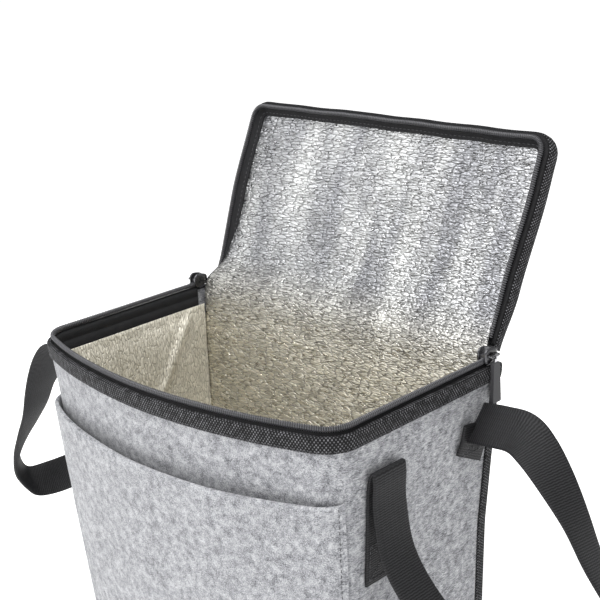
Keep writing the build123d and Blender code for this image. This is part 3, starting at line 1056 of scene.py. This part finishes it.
@dataclass
class RimZip:
    """The rim: woven band, zip tape, coil and the tape inside."""

    body_height: float = 220.0
    coil_height: float = 3.6
    coil_centre: float = 2.9
    coil_half: float = 1.35
    pitch: float = 1.3
    band: float = 1.2
    weave: DottedWeave = field(default_factory=DottedWeave)
    tape: ZipTape = field(default_factory=ZipTape)
    lining_tape: FineTape = field(default_factory=FineTape)
    coil: NylonCoil = field(default_factory=NylonCoil)
    thread: SewingThread = field(default_factory=SewingThread)

    def woven_band(self) -> None:
        """Band over the felt's top edge, round the front, the sides and the back."""
        low, high = self.body_height - 14.0, self.body_height - 5.0
        profile = [(0.02, low), (-0.7, low - 0.1), (-1.15, low + 0.35), (-1.35, low + 1.6),
                   (-1.45, (low + high) / 2),
                   (-1.35, high - 1.6), (-1.15, high - 0.5), (-0.6, high + 0.05), (0.3, high + 0.1),
                   (1.6, high), (2.4, high - 0.4), (2.4, high - 1.15), (1.2, high - 1.2), (0.02, high - 1.25),
                   (0.02, (low + high) / 2)]
        bm = swept(profile, stretch(0.0, BODY.length(), 3.0), lambda s, a, b: BODY.place(s, b, a))
        FOLD.split("rim_band_woven", bm, self.weave, ["rim_band"])
        across = [i / 20 - 1 for i in range(41)]
        bm = swept(profile, across, lambda u, a, b: BODY.back(u, b, a))
        ridden(made_piece("rim_band_back", bm, self.weave), "bag")
        seam = bmesh.new()
        stitches(seam, [BODY.place(s, low + 1.3, -1.4) for s in stretch(3, BODY.length() - 3, 4)])
        FOLD.split("rim_band_thread", seam, self.thread, [])

    def zip_row(self) -> None:
        """Coil and tape of the body's half of the zip."""
        margin = 6.0
        ends = (margin, BODY.length() - margin)
        tape = [(2.45, 203.6), (3.3, 203.6), (3.3, 216.6), (2.45, 216.6)]
        bm = swept(tape, stretch(*ends, 4.0), lambda s, a, b: BODY.place(s, b, a))
        FOLD.split("zip_tape_rim", bm, self.tape, ["zip_tape_body"])
        centre = self.body_height - self.coil_height / 2
        bm = coil_bead(self.coil_centre, centre, self.coil_half, self.coil_height / 2, ends, self.pitch,
                       lambda s, a, b: BODY.place(s, b, a))
        FOLD.split("zip_coil_rim", bm, self.coil, ["zip_coil_body"])

    def inner_tape(self) -> None:
        """Tape inside the rim, in two tiers with a seam between them and a loose lower edge."""
        margin = 6.0

        def place(s: float, a: float, b: float) -> Vector:
            """A place in the tape, wavy along its loose lower edge."""
            loose = smooth_step(211.0, 205.0, b)
            drop = loose * 1.5 * wave(s / 24.0, 0.4, 5.5)
            return BODY.place(s, b + drop, a + loose * (0.5 + 0.7 * wave(s / 19.0, 8.8, 1.0)))

        profile = [(3.35, 215.9), (4.25, 215.7), (4.55, 214.0), (4.6, 211.8), (4.2, 210.5), (4.15, 210.1),
                   (4.75, 209.6), (4.9, 207.5), (4.8, 205.0), (4.5, 204.0), (3.9, 203.9), (3.9, 207.5),
                   (3.5, 210.0), (3.35, 213.0)]
        bm = swept(profile, stretch(margin, BODY.length() - margin, 3.0), place)
        FOLD.split("rim_tape_inside", bm, self.lining_tape, ["rim_inner_tape"])

    def build(self) -> None:
        """Makes every piece of the rim."""
        self.woven_band()
        self.zip_row()
        self.inner_tape()


def coil_bead(centre_a: float, centre_b: float, half_a: float, half_b: float, ends: tuple[float, float],
              pitch: float, place: Callable[[float, float, float], Vector]) -> bmesh.types.BMesh:
    """A row of coil teeth: a bead whose section swells at each turn of the monofilament.

    Args:
        centre_a: First coordinate of the section's centre.
        centre_b: Second coordinate of it.
        half_a: Half the section's first size.
        half_b: Half its second size.
        ends: First and last station.
        pitch: From one turn to the next.
        place: Lays a point of the section at a station.

    Returns:
        The bead.
    """
    swell = (1.0, 1.0, 0.68, 0.68)
    count = int((ends[1] - ends[0]) / pitch) * 4
    section = [(centre_a + half_a * math.cos(math.tau * i / 10),
                centre_b + half_b * math.sin(math.tau * i / 10)) for i in range(10)]
    stations = [ends[0] + (ends[1] - ends[0]) * i / count for i in range(count + 1)]
    index = {s: i for i, s in enumerate(stations)}

    def ridged(s: float, a: float, b: float) -> Vector:
        """A point of the section, swollen at a turn."""
        size = swell[index[s] % 4]
        return place(s, centre_a + (a - centre_a) * size, centre_b + (b - centre_b) * size)

    bm = swept(section, stations, ridged)
    layer = bm.loops.layers.uv.verify()
    turn = (ends[1] - ends[0]) / count * 4
    for face in bm.faces:
        for loop in face.loops:
            loop[layer].uv.x = (loop[layer].uv.x - ends[0]) / turn - 0.125
    return bm


@dataclass
class Lid:
    """The lid: felt top with a woven edge, its half of the zip and the tape round the foil."""

    margin: float = 6.0
    felt: MelangeFelt = field(default_factory=MelangeFelt)
    weave: DottedWeave = field(default_factory=DottedWeave)
    tape: ZipTape = field(default_factory=ZipTape)
    lining_tape: FineTape = field(default_factory=FineTape)
    coil: NylonCoil = field(default_factory=NylonCoil)
    thread: SewingThread = field(default_factory=SewingThread)

    def edge(self, name: str, profile: Profile, step: float, finish: Finish, *nodes: str,
             margin: float = 0.0) -> None:
        """A piece that runs along the lid's edge."""
        bm = swept(profile, stretch(margin, LID.length() - margin, step), lambda s, a, b: LID.place(s, b, a))
        ridden(made_piece(name, bm, finish), "lid", *nodes)

    def top_panel(self) -> None:
        """Felt top, slightly crowned."""
        columns, rows = 61, 33

        def place(i: int, j: int) -> Vector:
            """A place on the felt's outer face."""
            u, v = i / (columns - 1) * 2 - 1, j / (rows - 1)
            out = 0.4 + v * (LID.reach - 0.8)
            limit = edge_limit(LID.half - 0.4, LID.reach - 0.4, LID.corner, out)
            crown = (1 - u ** 4) * (1 - (2 * v - 1) ** 4)
            return LID.rest(u * limit, out, 13.4 + 0.6 * crown + 0.5 * crown * wave(u * 2, v * 2, 3.0))

        bm = laid_grid(columns, rows, place, lambda i, j: (i * 4.0, j * 4.0))
        bmesh.ops.recalc_face_normals(bm, faces=bm.faces)
        shell = bmesh.ops.extrude_face_region(bm, geom=list(bm.faces))
        moved = [g for g in shell["geom"] if isinstance(g, bmesh.types.BMVert)]
        inward = LID.rest(0, 0, 0) - LID.rest(0, 0, 2.6)
        bmesh.ops.translate(bm, vec=inward, verts=moved)
        bmesh.ops.recalc_face_normals(bm, faces=bm.faces)
        ridden(made_piece("lid_top_felt", bm, self.felt), "lid", "lid_felt")

    def build(self) -> None:
        """Makes every piece of the lid but its foil."""
        self.top_panel()
        band = [(0.05, 5.2), (-0.5, 4.95), (-1.1, 5.4), (-1.35, 7.0), (-1.5, 9.5), (-1.35, 12.2),
                (-1.0, 13.6),
                (-0.2, 14.45), (1.5, 14.75), (4.0, 14.75), (6.4, 14.5), (6.6, 14.0), (4.0, 13.9), (1.2, 13.8),
                (0.05, 13.0), (0.05, 9.0)]
        self.edge("lid_band_woven", band, 3.0, self.weave, "lid_band")
        lip = [(-0.4, 4.9), (-0.5, 4.2), (0.6, 3.75), (2.4, 3.6), (3.3, 3.7), (3.3, 5.0), (2.0, 5.2),
               (0.5, 5.5)]
        self.edge("lid_zip_tape_woven", lip, 3.0, self.tape, "lid_zip_tape", margin=self.margin - 3)
        bm = coil_bead(2.9, 1.8, 1.35, 1.8, (self.margin, LID.length() - self.margin), 1.3,
                       lambda s, a, b: LID.place(s, b, a))
        ridden(made_piece("lid_zip_coil_row", bm, self.coil), "lid", "lid_zip_coil")
        border = [(3.2, 3.2), (4.0, 3.1), (4.6, 4.0), (5.4, 5.4), (6.4, 6.3), (7.4, 6.7), (8.0, 7.0),
                  (7.8, 7.6),
                  (6.6, 7.8), (5.0, 7.7), (3.4, 7.4), (3.1, 5.0)]
        self.edge("lid_border_tape", border, 3.0, self.lining_tape, "lid_inner_tape", margin=2.0)
        seam = bmesh.new()
        stitches(seam, [LID.place(s, 14.95, 4.8) for s in stretch(4, LID.length() - 4, 4)])
        stitches(seam, [LID.place(s, 6.0, 6.2) for s in stretch(6, LID.length() - 6, 4)])
        ridden(made_piece("lid_thread", seam, self.thread), "lid")


def edge_limit(half: float, reach: float, corner: float, out: float) -> float:
    """Half the width of the lid's outline at a distance from its hinge."""
    over = out - (reach - corner)
    return half if over <= 0 else half - corner + math.sqrt(max(0.0, corner * corner - over * over))


@dataclass
class Lining:
    """Foil over foam: the walls and floor of the tub, and one sheet up the back and over the lid."""

    cool: EmbossedFoil = field(default_factory=EmbossedFoil)
    warm: WarmFoil = field(default_factory=WarmFoil)
    wall_inset: float = 5.9
    thickness: float = 0.5

    def crinkle(self, u: float, v: float, seed: float) -> float:
        """Height of the crinkles, long in u and narrow in v, and of the broad hollows under them."""
        bent = v + 1.4 * wave(u / 17.0, v / 13.0, seed)
        ridges = wave(u / 11.0, bent / 2.1, seed + 2.0)
        hollows = wave((u + 0.35 * v) / 36.0, v / 95.0, seed + 5.0)
        return 0.28 * ridges + 0.9 * hollows

    def walls(self) -> None:
        """Foil on the front and side walls."""
        low, high = 6.4, 204.8

        def place(s: float, a: float, b: float) -> Vector:
            """A place in the film, puffed below the rim and creased on the left wall."""
            run = min(s, BODY.length() - s)
            edge = smooth_step(high, high - 9, b) * smooth_step(low, low + 12, b) * smooth_step(0, 10, run)
            puff = 1.6 * smooth_step(high, high - 14, b) * smooth_step(high - 60, high - 20, b)
            from_crease = (BODY.length() - s) - 12.0 - 0.75 * (high - b)
            fold = 2.6 * math.exp(-(from_crease / 4.5) ** 2) * smooth_step(high - 75, high - 50, b)
            lift = edge * (puff + fold + self.crinkle(b, s, 3.0) + 1.2 * wave(s / 45.0, b / 40.0, 2.0))
            return BODY.place(s, b, self.wall_inset + a + max(-0.6, lift))

        profile = rounded_section(-self.thickness / 2, self.thickness / 2, low, high, 0.2, 1, rows=90)
        bm = swept(profile, stretch(0.3, BODY.length() - 0.3, 1.6), place)
        FOLD.split("foil_walls", bm, self.warm, ["foil_lining", "foam_front", "foam_left", "foam_right"])

    def floor(self) -> None:
        """Foil on the floor, a soft tray whose edges turn up."""
        columns, rows = 81, 47
        half, front, back, bow_start = 103.2, -56.5, 49.6, -48

        def place(i: int, j: int) -> Vector:
            """A place on the tray, narrower toward the bowed front."""
            u, v = i / (columns - 1) * 2 - 1, j / (rows - 1)
            y = front + v * (back - front)
            bow = 0.0 if y > bow_start else (bow_start - y)
            limit = half - bow * 1.2
            x = u * limit
            turned = max(smooth_step(0.93, 1.0, abs(u)), smooth_step(0.9, 1.0, v), smooth_step(0.1, 0.0, v))
            return Vector((x, y, 6.3 + 1.2 * turned + 0.5 * abs(wave(x / 14.0, y / 14.0, 1.0))))

        bm = laid_grid(columns, rows, place, lambda i, j: (i * 2.6, j * 2.4))
        bmesh.ops.solidify(bm, geom=list(bm.faces), thickness=0.3)
        bmesh.ops.recalc_face_normals(bm, faces=bm.faces)
        ridden(made_piece("foil_floor", bm, self.warm), "bag")

    def route(self) -> list[Vector]:
        """The line that the sheet follows up the back wall and over the hinge to the lid's free edge."""
        keys = [Vector((0, BODY.level_at(z).depth / 2 - self.wall_inset - 0.3, z))
                for z in (6.8, 40, 80, 120, 160, 190)]
        keys += [Vector((0, 58.6, 203)), Vector((0, 59.4, 213)), Vector((0, 62.8, 222.5))]
        keys += [LID.rest(0, out, t) for out, t in ((14, 3.2), (28, 5.6), (46, 7.1), (75, 7.5), (100, 7.5))]
        keys.append(LID.rest(0, LID.reach - 4.2, 7.5))
        return catmull_rom(keys, 8)

    def sheet(self) -> None:
        """One sheet from the floor up the back wall, over the hinge and to the lid's free edge."""
        line = self.route()
        lengths = [0.0]
        for a, b in zip(line, line[1:]):
            lengths.append(lengths[-1] + (b - a).length)
        total = lengths[-1]
        lid_start = total - (LID.reach - 18.0)
        columns, step = 125, 0.85
        rows = int(total / step)

        def along(distance: float) -> tuple[Vector, Vector]:
            """The line's point and normal at a distance from its start."""
            index = next((k for k in range(1, len(lengths)) if lengths[k] >= distance), len(lengths) - 1)
            a, b = line[index - 1], line[index]
            share = (distance - lengths[index - 1]) / max(1e-9, lengths[index] - lengths[index - 1])
            tangent = (b - a).normalized()
            return a + (b - a) * share, Vector((0, -tangent.z, tangent.y))

        stops = [along(total * j / (rows - 1)) for j in range(rows)]

        def place(i: int, j: int) -> Vector:
            """A place on the sheet, which widens from the body to the lid."""
            u = i / (columns - 1) * 2 - 1
            distance = total * j / (rows - 1)
            point, normal = stops[j]
            on_lid = smooth_step(lid_start - 22, lid_start, distance)
            body_half = BODY.level_at(min(point.z, 214)).width / 2 - self.wall_inset
            out = LID.reach - 4.2 - (total - distance)
            lid_half = edge_limit(LID.half - 4.2, LID.reach - 4.2, 7.0, out)
            half = body_half + (lid_half - body_half) * on_lid
            x = u * half
            edge = (smooth_step(0, 7, half - abs(x)) * smooth_step(0, 9, distance)
                    * smooth_step(0, 7, total - distance))
            calm = 0.35 + 0.65 * smooth_step(18, 40, abs(distance - lid_start + 10))
            swell = (1 - u ** 4) * 0.9 * on_lid
            lift = edge * (swell + calm * self.crinkle(x, distance, 7.0))
            lift = max(lift, -1.5 * on_lid)
            drawn = x + (LID.gathered(x, max(0.0, out)) - x) * on_lid
            return Vector((drawn, point.y, point.z)) + normal * lift

        bm = laid_grid(columns, rows, place,
                       lambda i, j: (i / (columns - 1) * 232.0, total * j / (rows - 1)))
        bmesh.ops.recalc_face_normals(bm, faces=bm.faces)
        if sum(f.normal.y for f in bm.faces) > 0:
            bmesh.ops.reverse_faces(bm, faces=bm.faces)
        piece = made_piece("foil_sheet_back_and_lid", bm, self.cool)
        shell = piece.modifiers.new("film", "SOLIDIFY")
        shell.thickness = self.thickness * MM
        shell.offset = -1.0
        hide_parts("lid_foil", "lid_foam", "foam_back")
        away = LID.rest(0, 16, 6) * MM
        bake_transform(piece)

    def build(self) -> None:
        """Makes every piece of the lining."""
        self.walls()
        self.floor()
        self.sheet()


@dataclass
class Handles:
    """Webbing loops at both sides, each sewn to the wall at two places."""

    width: float = 25.0
    thickness: float = 1.7
    fold_x: float = 123.455
    centre_y: float = 4.025
    fold_z: float = 187.0
    half_spacing: float = 36.0
    sewn: float = 62.0
    sewn_short: float = 26.0
    webbing: RibbedWebbing = field(default_factory=RibbedWebbing)
    thread: SewingThread = field(default_factory=SewingThread)

    def keys(self) -> list[tuple[tuple, tuple]]:
        """Places and width directions along the right loop: outward, back, up from the fold's middle."""
        return [
            ((-2.6, -36.0, 1.9), (0.0, 1.0, 0.0)), ((-0.9, -36.0, 1.5), (0.0, 1.0, 0.0)),
            ((-0.5, -36.0, -4.0), (0.0, 1.0, 0.0)), ((-0.8, -36.0, -20.0), (0.0, 1.0, 0.0)),
            ((4.5, -36.0, -46.0), (0.0, 1.0, 0.0)), ((22.0, -36.0, -68.0), (0.0, 1.0, 0.0)),
            ((46.0, -35.0, -87.0), (0.1, 0.98, 0.1)), ((76.0, -32.2, -105.0), (0.4, 0.82, 0.41)),
            ((107.0, -24.6, -124.0), (0.65, 0.4, 0.65)), ((130.0, -11.4, -136.0), (0.7, 0.1, 0.7)),
            ((137.0, 3.0, -135.0), (0.7, -0.1, 0.7)), ((131.0, 15.2, -116.0), (0.6, -0.5, 0.6)),
            ((111.0, 22.7, -92.0), (0.4, -0.82, 0.38)), ((91.0, 27.5, -70.0), (0.3, -0.93, 0.2)),
            ((76.0, 30.0, -52.0), (0.2, -0.96, 0.12)), ((64.0, 32.5, -34.0), (0.06, -0.96, 0.06)),
            ((50.0, 35.0, -17.0), (-0.12, -0.93, -0.16)), ((37.0, 37.2, -4.5), (-0.2, -0.83, -0.42)),
            ((26.0, 38.3, 2.0), (-0.22, -0.74, -0.64)),
            ((12.0, 38.6, 1.8), (-0.05, -0.72, -0.69)), ((-4.4, 40.6, -0.8), (0.0, -0.72, -0.69))]

    def section(self) -> list[tuple[float, float]]:
        """The webbing's section: flat, with rounded selvedges."""
        half, thick = self.width / 2, self.thickness / 2
        return [(-half, 0.0), (-half + 0.35, thick * 0.8), (-half + 1.2, thick), (-half / 2, thick),
                (0, thick),
                (half / 2, thick), (half - 1.2, thick), (half - 0.35, thick * 0.8), (half, 0.0),
                (half - 0.35, -thick * 0.8), (half - 1.2, -thick), (half / 2, -thick), (0, -thick),
                (-half / 2, -thick), (-half + 1.2, -thick), (-half + 0.35, -thick * 0.8)]

    def strap(self, places: Sequence[Vector], widths: Sequence[Vector]) -> bmesh.types.BMesh:
        """Webbing along a line.

        Args:
            places: The line's points.
            widths: Direction of the webbing's width at each point.

        Returns:
            The strap.
        """
        lengths = [0.0]
        frames = []
        for index, (place, width) in enumerate(zip(places, widths)):
            ahead = places[min(index + 1, len(places) - 1)]
            behind = places[max(index - 1, 0)]
            tangent = (ahead - behind).normalized()
            across = (width - tangent * width.dot(tangent)).normalized()
            frames.append((place, across, tangent.cross(across).normalized()))
            if index:
                lengths.append(lengths[-1] + (place - places[index - 1]).length)
        order = {length: k for k, length in enumerate(lengths)}

        def place_at(s: float, a: float, b: float) -> Vector:
            """A place in the strap's section at a length."""
            origin, across, up = frames[order[s]]
            return origin + across * a + up * b

        ring = self.section()
        bm = swept(ring, lengths, place_at)
        layer = bm.loops.layers.uv.verify()
        for face in bm.faces:
            for loop in face.loops:
                loop[layer].uv = (loop[layer].uv.y, loop[layer].uv.x)
        return bm

    def loop(self, hand: int, name: str) -> None:
        """One loop, as it hangs."""
        places, widths = [], []
        for (out, along, up), width in self.keys():
            places.append(Vector((hand * (self.fold_x + out), self.centre_y + hand * along,
                                  self.fold_z + up)))
            widths.append(Vector((hand * width[0], hand * width[1], width[2])))
        bm = self.strap(catmull_rom(places, 9), catmull_rom(widths, 9))
        piece = made_piece(f"handle_{name}_webbing", bm, self.webbing)
        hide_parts(f"handle_{name}")
        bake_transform(piece)

    def anchor(self, hand: int, name: str, end: int) -> None:
        """A sewn end: a strip flat on the wall, with its top folded out to the loop."""
        y = self.centre_y + end * self.half_spacing
        place_name = "front" if end < 0 else "back"
        slanted = end * hand > 0
        low = self.fold_z - (self.sewn_short if slanted else self.sewn)

        def on_wall(z: float) -> float:
            """Half the body's width at a height."""
            return BODY.level_at(z).width / 2

        keys, widths = [], []
        if slanted:
            slant = ((-1.5, low + 6, 14), (0.5, low + 10, 22), (2.5, low + 15, 34), (4.6, 186.2, 44))
            for along, z, tilt in slant:
                keys.append(Vector((hand * (on_wall(z) + 1.5), y + end * along, z)))
                widths.append(Vector((0, end * math.cos(math.radians(tilt)), math.sin(math.radians(tilt)))))
        else:
            for z in (low, low + 4, 130, 145, 160, 172, 180):
                keys.append(Vector((hand * (on_wall(z) + 1.5), y, z)))
                widths.append(Vector((0, 1, 0)))
            for out, up in ((2.2, 186.0), (3.4, 188.6), (5.0, 188.9)):
                keys.append(Vector((hand * (on_wall(187) + out), y, up)))
                widths.append(Vector((0, 1, 0)))
        bm = self.strap(catmull_rom(keys, 5), catmull_rom(widths, 5))
        piece = made_piece(f"handle_end_{name}_{place_name}", bm, self.webbing)
        ridden(piece, "bag", f"handle_anchor_{name}_{place_name}")
        seam = bmesh.new()
        half = self.width / 2 - 2.2
        out = 1.5 + self.thickness / 2 + 0.15

        def spot(across: float, z: float) -> Vector:
            """A place on the strap's face."""
            return Vector((hand * (on_wall(z) + out), y + across, z))

        bottom, top = low + 2.5, low + 2.5 + 2 * half
        if slanted:
            bottom, top, half = low + 9.0, low + 15.0, half * 0.75
        box = [(-half, bottom), (half, bottom), (half, top), (-half, top)]
        sides = [(box[k], box[(k + 1) % 4]) for k in range(4)]
        for (a, b), (c, d) in [*sides, (box[0], box[2]), (box[1], box[3])]:
            run = [spot(a + (c - a) * k / 12, b + (d - b) * k / 12) for k in range(13)]
            stitches(seam, run, pitch=2.6, length=2.0)
        ridden(made_piece(f"handle_end_{name}_{place_name}_thread", seam, self.thread), "bag")

    def build(self) -> None:
        """Makes both handles."""
        for hand, name in ((1, "right"), (-1, "left")):
            self.loop(hand, name)
            for end in (-1, 1):
                self.anchor(hand, name, end)


@dataclass
class Sliders:
    """Two zip sliders: a domed plate on each side of the coils, a post between them and a bail."""

    y: float = 57.5
    centre_z: float = 221.0
    faces: tuple = ((118.7, 1.0), (115.2, -1.0))
    half_length: float = 5.4
    half_height: float = 4.6
    bail_x: float = 122.4
    bail_z: float = 221.3
    bail_radius: float = 0.7
    post_x: float = 116.95
    post_size: tuple = (4.2, 2.8, 1.8)
    enamel: BlackZinc = field(default_factory=BlackZinc)

    def plate(self, face_x: float, outward: float) -> bmesh.types.BMesh:
        """A plate with rounded ends, wider where the two coils part, and domed on its outer side."""
        rings = ((0.0, 0.93), (0.2, 1.0), (0.8, 1.0), (1.2, 0.94), (1.45, 0.82), (1.6, 0.6), (1.66, 0.3))
        section = []
        for index in range(32):
            angle = math.tau * index / 32
            across, up = math.cos(angle), math.sin(angle)
            along = math.copysign(abs(across) ** 0.6, across)
            height = math.copysign(abs(up) ** 0.6, up) * (1 - 0.24 * smooth_step(-0.6, 1.0, along))
            section.append((along * self.half_length, height * self.half_height))
        return swept(section, range(len(rings)), lambda s, a, b: Vector((
            face_x + outward * rings[s][0], self.y + a * rings[s][1], self.centre_z + b * rings[s][1])))

    def bail(self) -> bmesh.types.BMesh:
        """A round bow that stands off the outer plate."""
        inner = self.faces[0][0] + 1.2
        bow = ((inner, -3.6), (self.bail_x - 0.7, -3.5), (self.bail_x, -2.7),
               (self.bail_x, 2.7), (self.bail_x - 0.7, 3.5), (inner, 3.6))
        line = catmull_rom([Vector((x, y + self.y, self.bail_z)) for x, y in bow], 6)
        ring = [(self.bail_radius * math.cos(math.tau * i / 12),
                 self.bail_radius * math.sin(math.tau * i / 12)) for i in range(12)]

        def place(s: int, a: float, b: float) -> Vector:
            """A place on the round wire."""
            ahead, behind = line[min(s + 1, len(line) - 1)], line[max(s - 1, 0)]
            tangent = (ahead - behind).normalized()
            side = Vector((0, 0, 1)).cross(tangent)
            return line[s] + side * a + Vector((0, 0, b))

        return swept(ring, range(len(line)), place)

    def build(self) -> None:
        """Makes both sliders."""
        for hand, name in ((1, "right"), (-1, "left")):
            whole = bmesh.new()
            for shape in (*(self.plate(*face) for face in self.faces), self.bail()):
                mesh = bpy.data.meshes.new("slider_shape")
                shape.to_mesh(mesh)
                whole.from_mesh(mesh)
                shape.free()
                bpy.data.meshes.remove(mesh)
            centre = Matrix.Translation((self.post_x, self.y - 2.5, self.centre_z))
            post = centre @ Matrix.Diagonal((*self.post_size, 1))
            bmesh.ops.create_cube(whole, size=1.0, matrix=post)
            bmesh.ops.scale(whole, vec=(hand, 1, 1), verts=whole.verts)
            bmesh.ops.recalc_face_normals(whole, faces=whole.faces)
            ridden(made_piece(f"slider_{name}_enamelled", whole, self.enamel), f"{name}_slider",
                   f"slider_{name}")


@dataclass
class Fittings:
    """Finishes for the CAD nodes that show as they are."""

    finishes: dict = field(default_factory=lambda: {
        "felt_base_panel": MelangeFelt(), "foam": CellFoam(), "hinge_strip": FineTape(),
        "pull_link": NickelWire(), "pull_tab": SoftPvc()})

    def build(self) -> None:
        """Dresses every CAD node that no new piece replaces."""
        for name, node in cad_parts.items():
            for start, finish in self.finishes.items():
                if name.startswith(start):
                    node.data.materials.clear()
                    node.data.materials.append(finish.material())


@dataclass
class Studio:
    """Pale floor, soft lights and the camera."""

    lens_mm: float = 76.584
    yaw: float = 44.96
    pitch: float = 18.11
    roll: float = -2.83
    place_mm: tuple = (500.6, -467.0, 467.0)
    floor_tone: str = "#f4f4f4"

    def floor(self) -> None:
        """A wide pale sweep."""
        bm = bmesh.new()
        bmesh.ops.create_grid(bm, x_segments=1, y_segments=1, size=30.0)
        mesh = bpy.data.meshes.new("studio_floor")
        bm.to_mesh(mesh)
        bm.free()
        floor = bpy.data.objects.new("studio_floor", mesh)
        bpy.context.scene.collection.objects.link(floor)
        paper = bpy.data.materials.new("studio_paper")
        paper.use_nodes = True
        shader = next(n for n in paper.node_tree.nodes if n.type == "BSDF_PRINCIPLED")
        set_shader(shader, Base_Color=srgb(self.floor_tone), Roughness=0.9, Specular_IOR_Level=0.1,
                   Emission_Color=srgb("#ffffff"), Emission_Strength=0.72)
        mesh.materials.append(paper)

    def light(self, name: str, place: tuple, size: tuple, power: float, target: tuple = (0, 0, 0.15)) -> None:
        """A soft rectangular light that faces a target."""
        data = bpy.data.lights.new(name, "AREA")
        data.shape = "RECTANGLE"
        data.size, data.size_y = size
        data.energy = power
        lamp = bpy.data.objects.new(name, data)
        lamp.location = place
        lamp.rotation_euler = (Vector(target) - Vector(place)).to_track_quat("-Z", "Y").to_euler()
        bpy.context.scene.collection.objects.link(lamp)

    def world(self) -> None:
        """Soft grey surroundings."""
        world = bpy.data.worlds.new("studio")
        bpy.context.scene.world = world
        world.use_nodes = True
        back = next(n for n in world.node_tree.nodes if n.type == "BACKGROUND")
        back.inputs["Color"].default_value = srgb("#ffffff")
        back.inputs["Strength"].default_value = 0.36

    def camera(self) -> None:
        """The camera, from its turn, tilt and focal length."""
        yaw, pitch, roll = (math.radians(a) for a in (self.yaw, self.pitch, self.roll))
        back = Vector((math.sin(yaw) * math.cos(pitch), -math.cos(yaw) * math.cos(pitch), math.sin(pitch)))
        right = Vector((math.cos(yaw), math.sin(yaw), 0))
        up = back.cross(right)
        turned_right = right * math.cos(roll) + up * math.sin(roll)
        turned_up = up * math.cos(roll) - right * math.sin(roll)
        data = bpy.data.cameras.new("camera")
        data.sensor_width = 36.0
        data.lens = self.lens_mm
        data.clip_start, data.clip_end = 0.01, 100.0
        camera = bpy.data.objects.new("camera", data)
        rows = Matrix((turned_right, turned_up, back)).transposed()
        camera.matrix_world = Matrix.Translation(Vector(self.place_mm) * MM) @ rows.to_4x4()
        bpy.context.scene.collection.objects.link(camera)
        bpy.context.scene.camera = camera

    def build(self) -> None:
        """Sets the studio up."""
        bpy.context.scene.view_settings.view_transform = "Standard"
        self.floor()
        self.world()
        self.light("key_front_left", (-0.35, -1.4, 1.3), (0.9, 0.9), 11.0)
        self.light("strip_left", (-1.4, -1.05, 0.8), (0.6, 1.4), 6.5, (0, 0.1, 0.28))
        self.light("fill_right", (1.6, -0.35, 0.9), (0.8, 0.8), 2.0)
        self.light("top", (0.1, -0.2, 1.7), (1.2, 0.8), 16.0)
        self.light("inside", (0.3, -0.3, 0.8), (0.25, 0.25), 2.2, (-0.11, 0.0, 0.17))
        self.camera()


def main() -> None:
    """Builds the bag and reports it."""
    logging.basicConfig(level=logging.INFO, format="%(message)s")
    for part in (FeltBody(), RimZip(), Lid(), Lining(), Handles(), Sliders(), Fittings(), Studio()):
        LOG.info("building %s", type(part).__name__)
        part.build()
    bpy.context.view_layer.update()


if __name__ == "__main__":
    main()
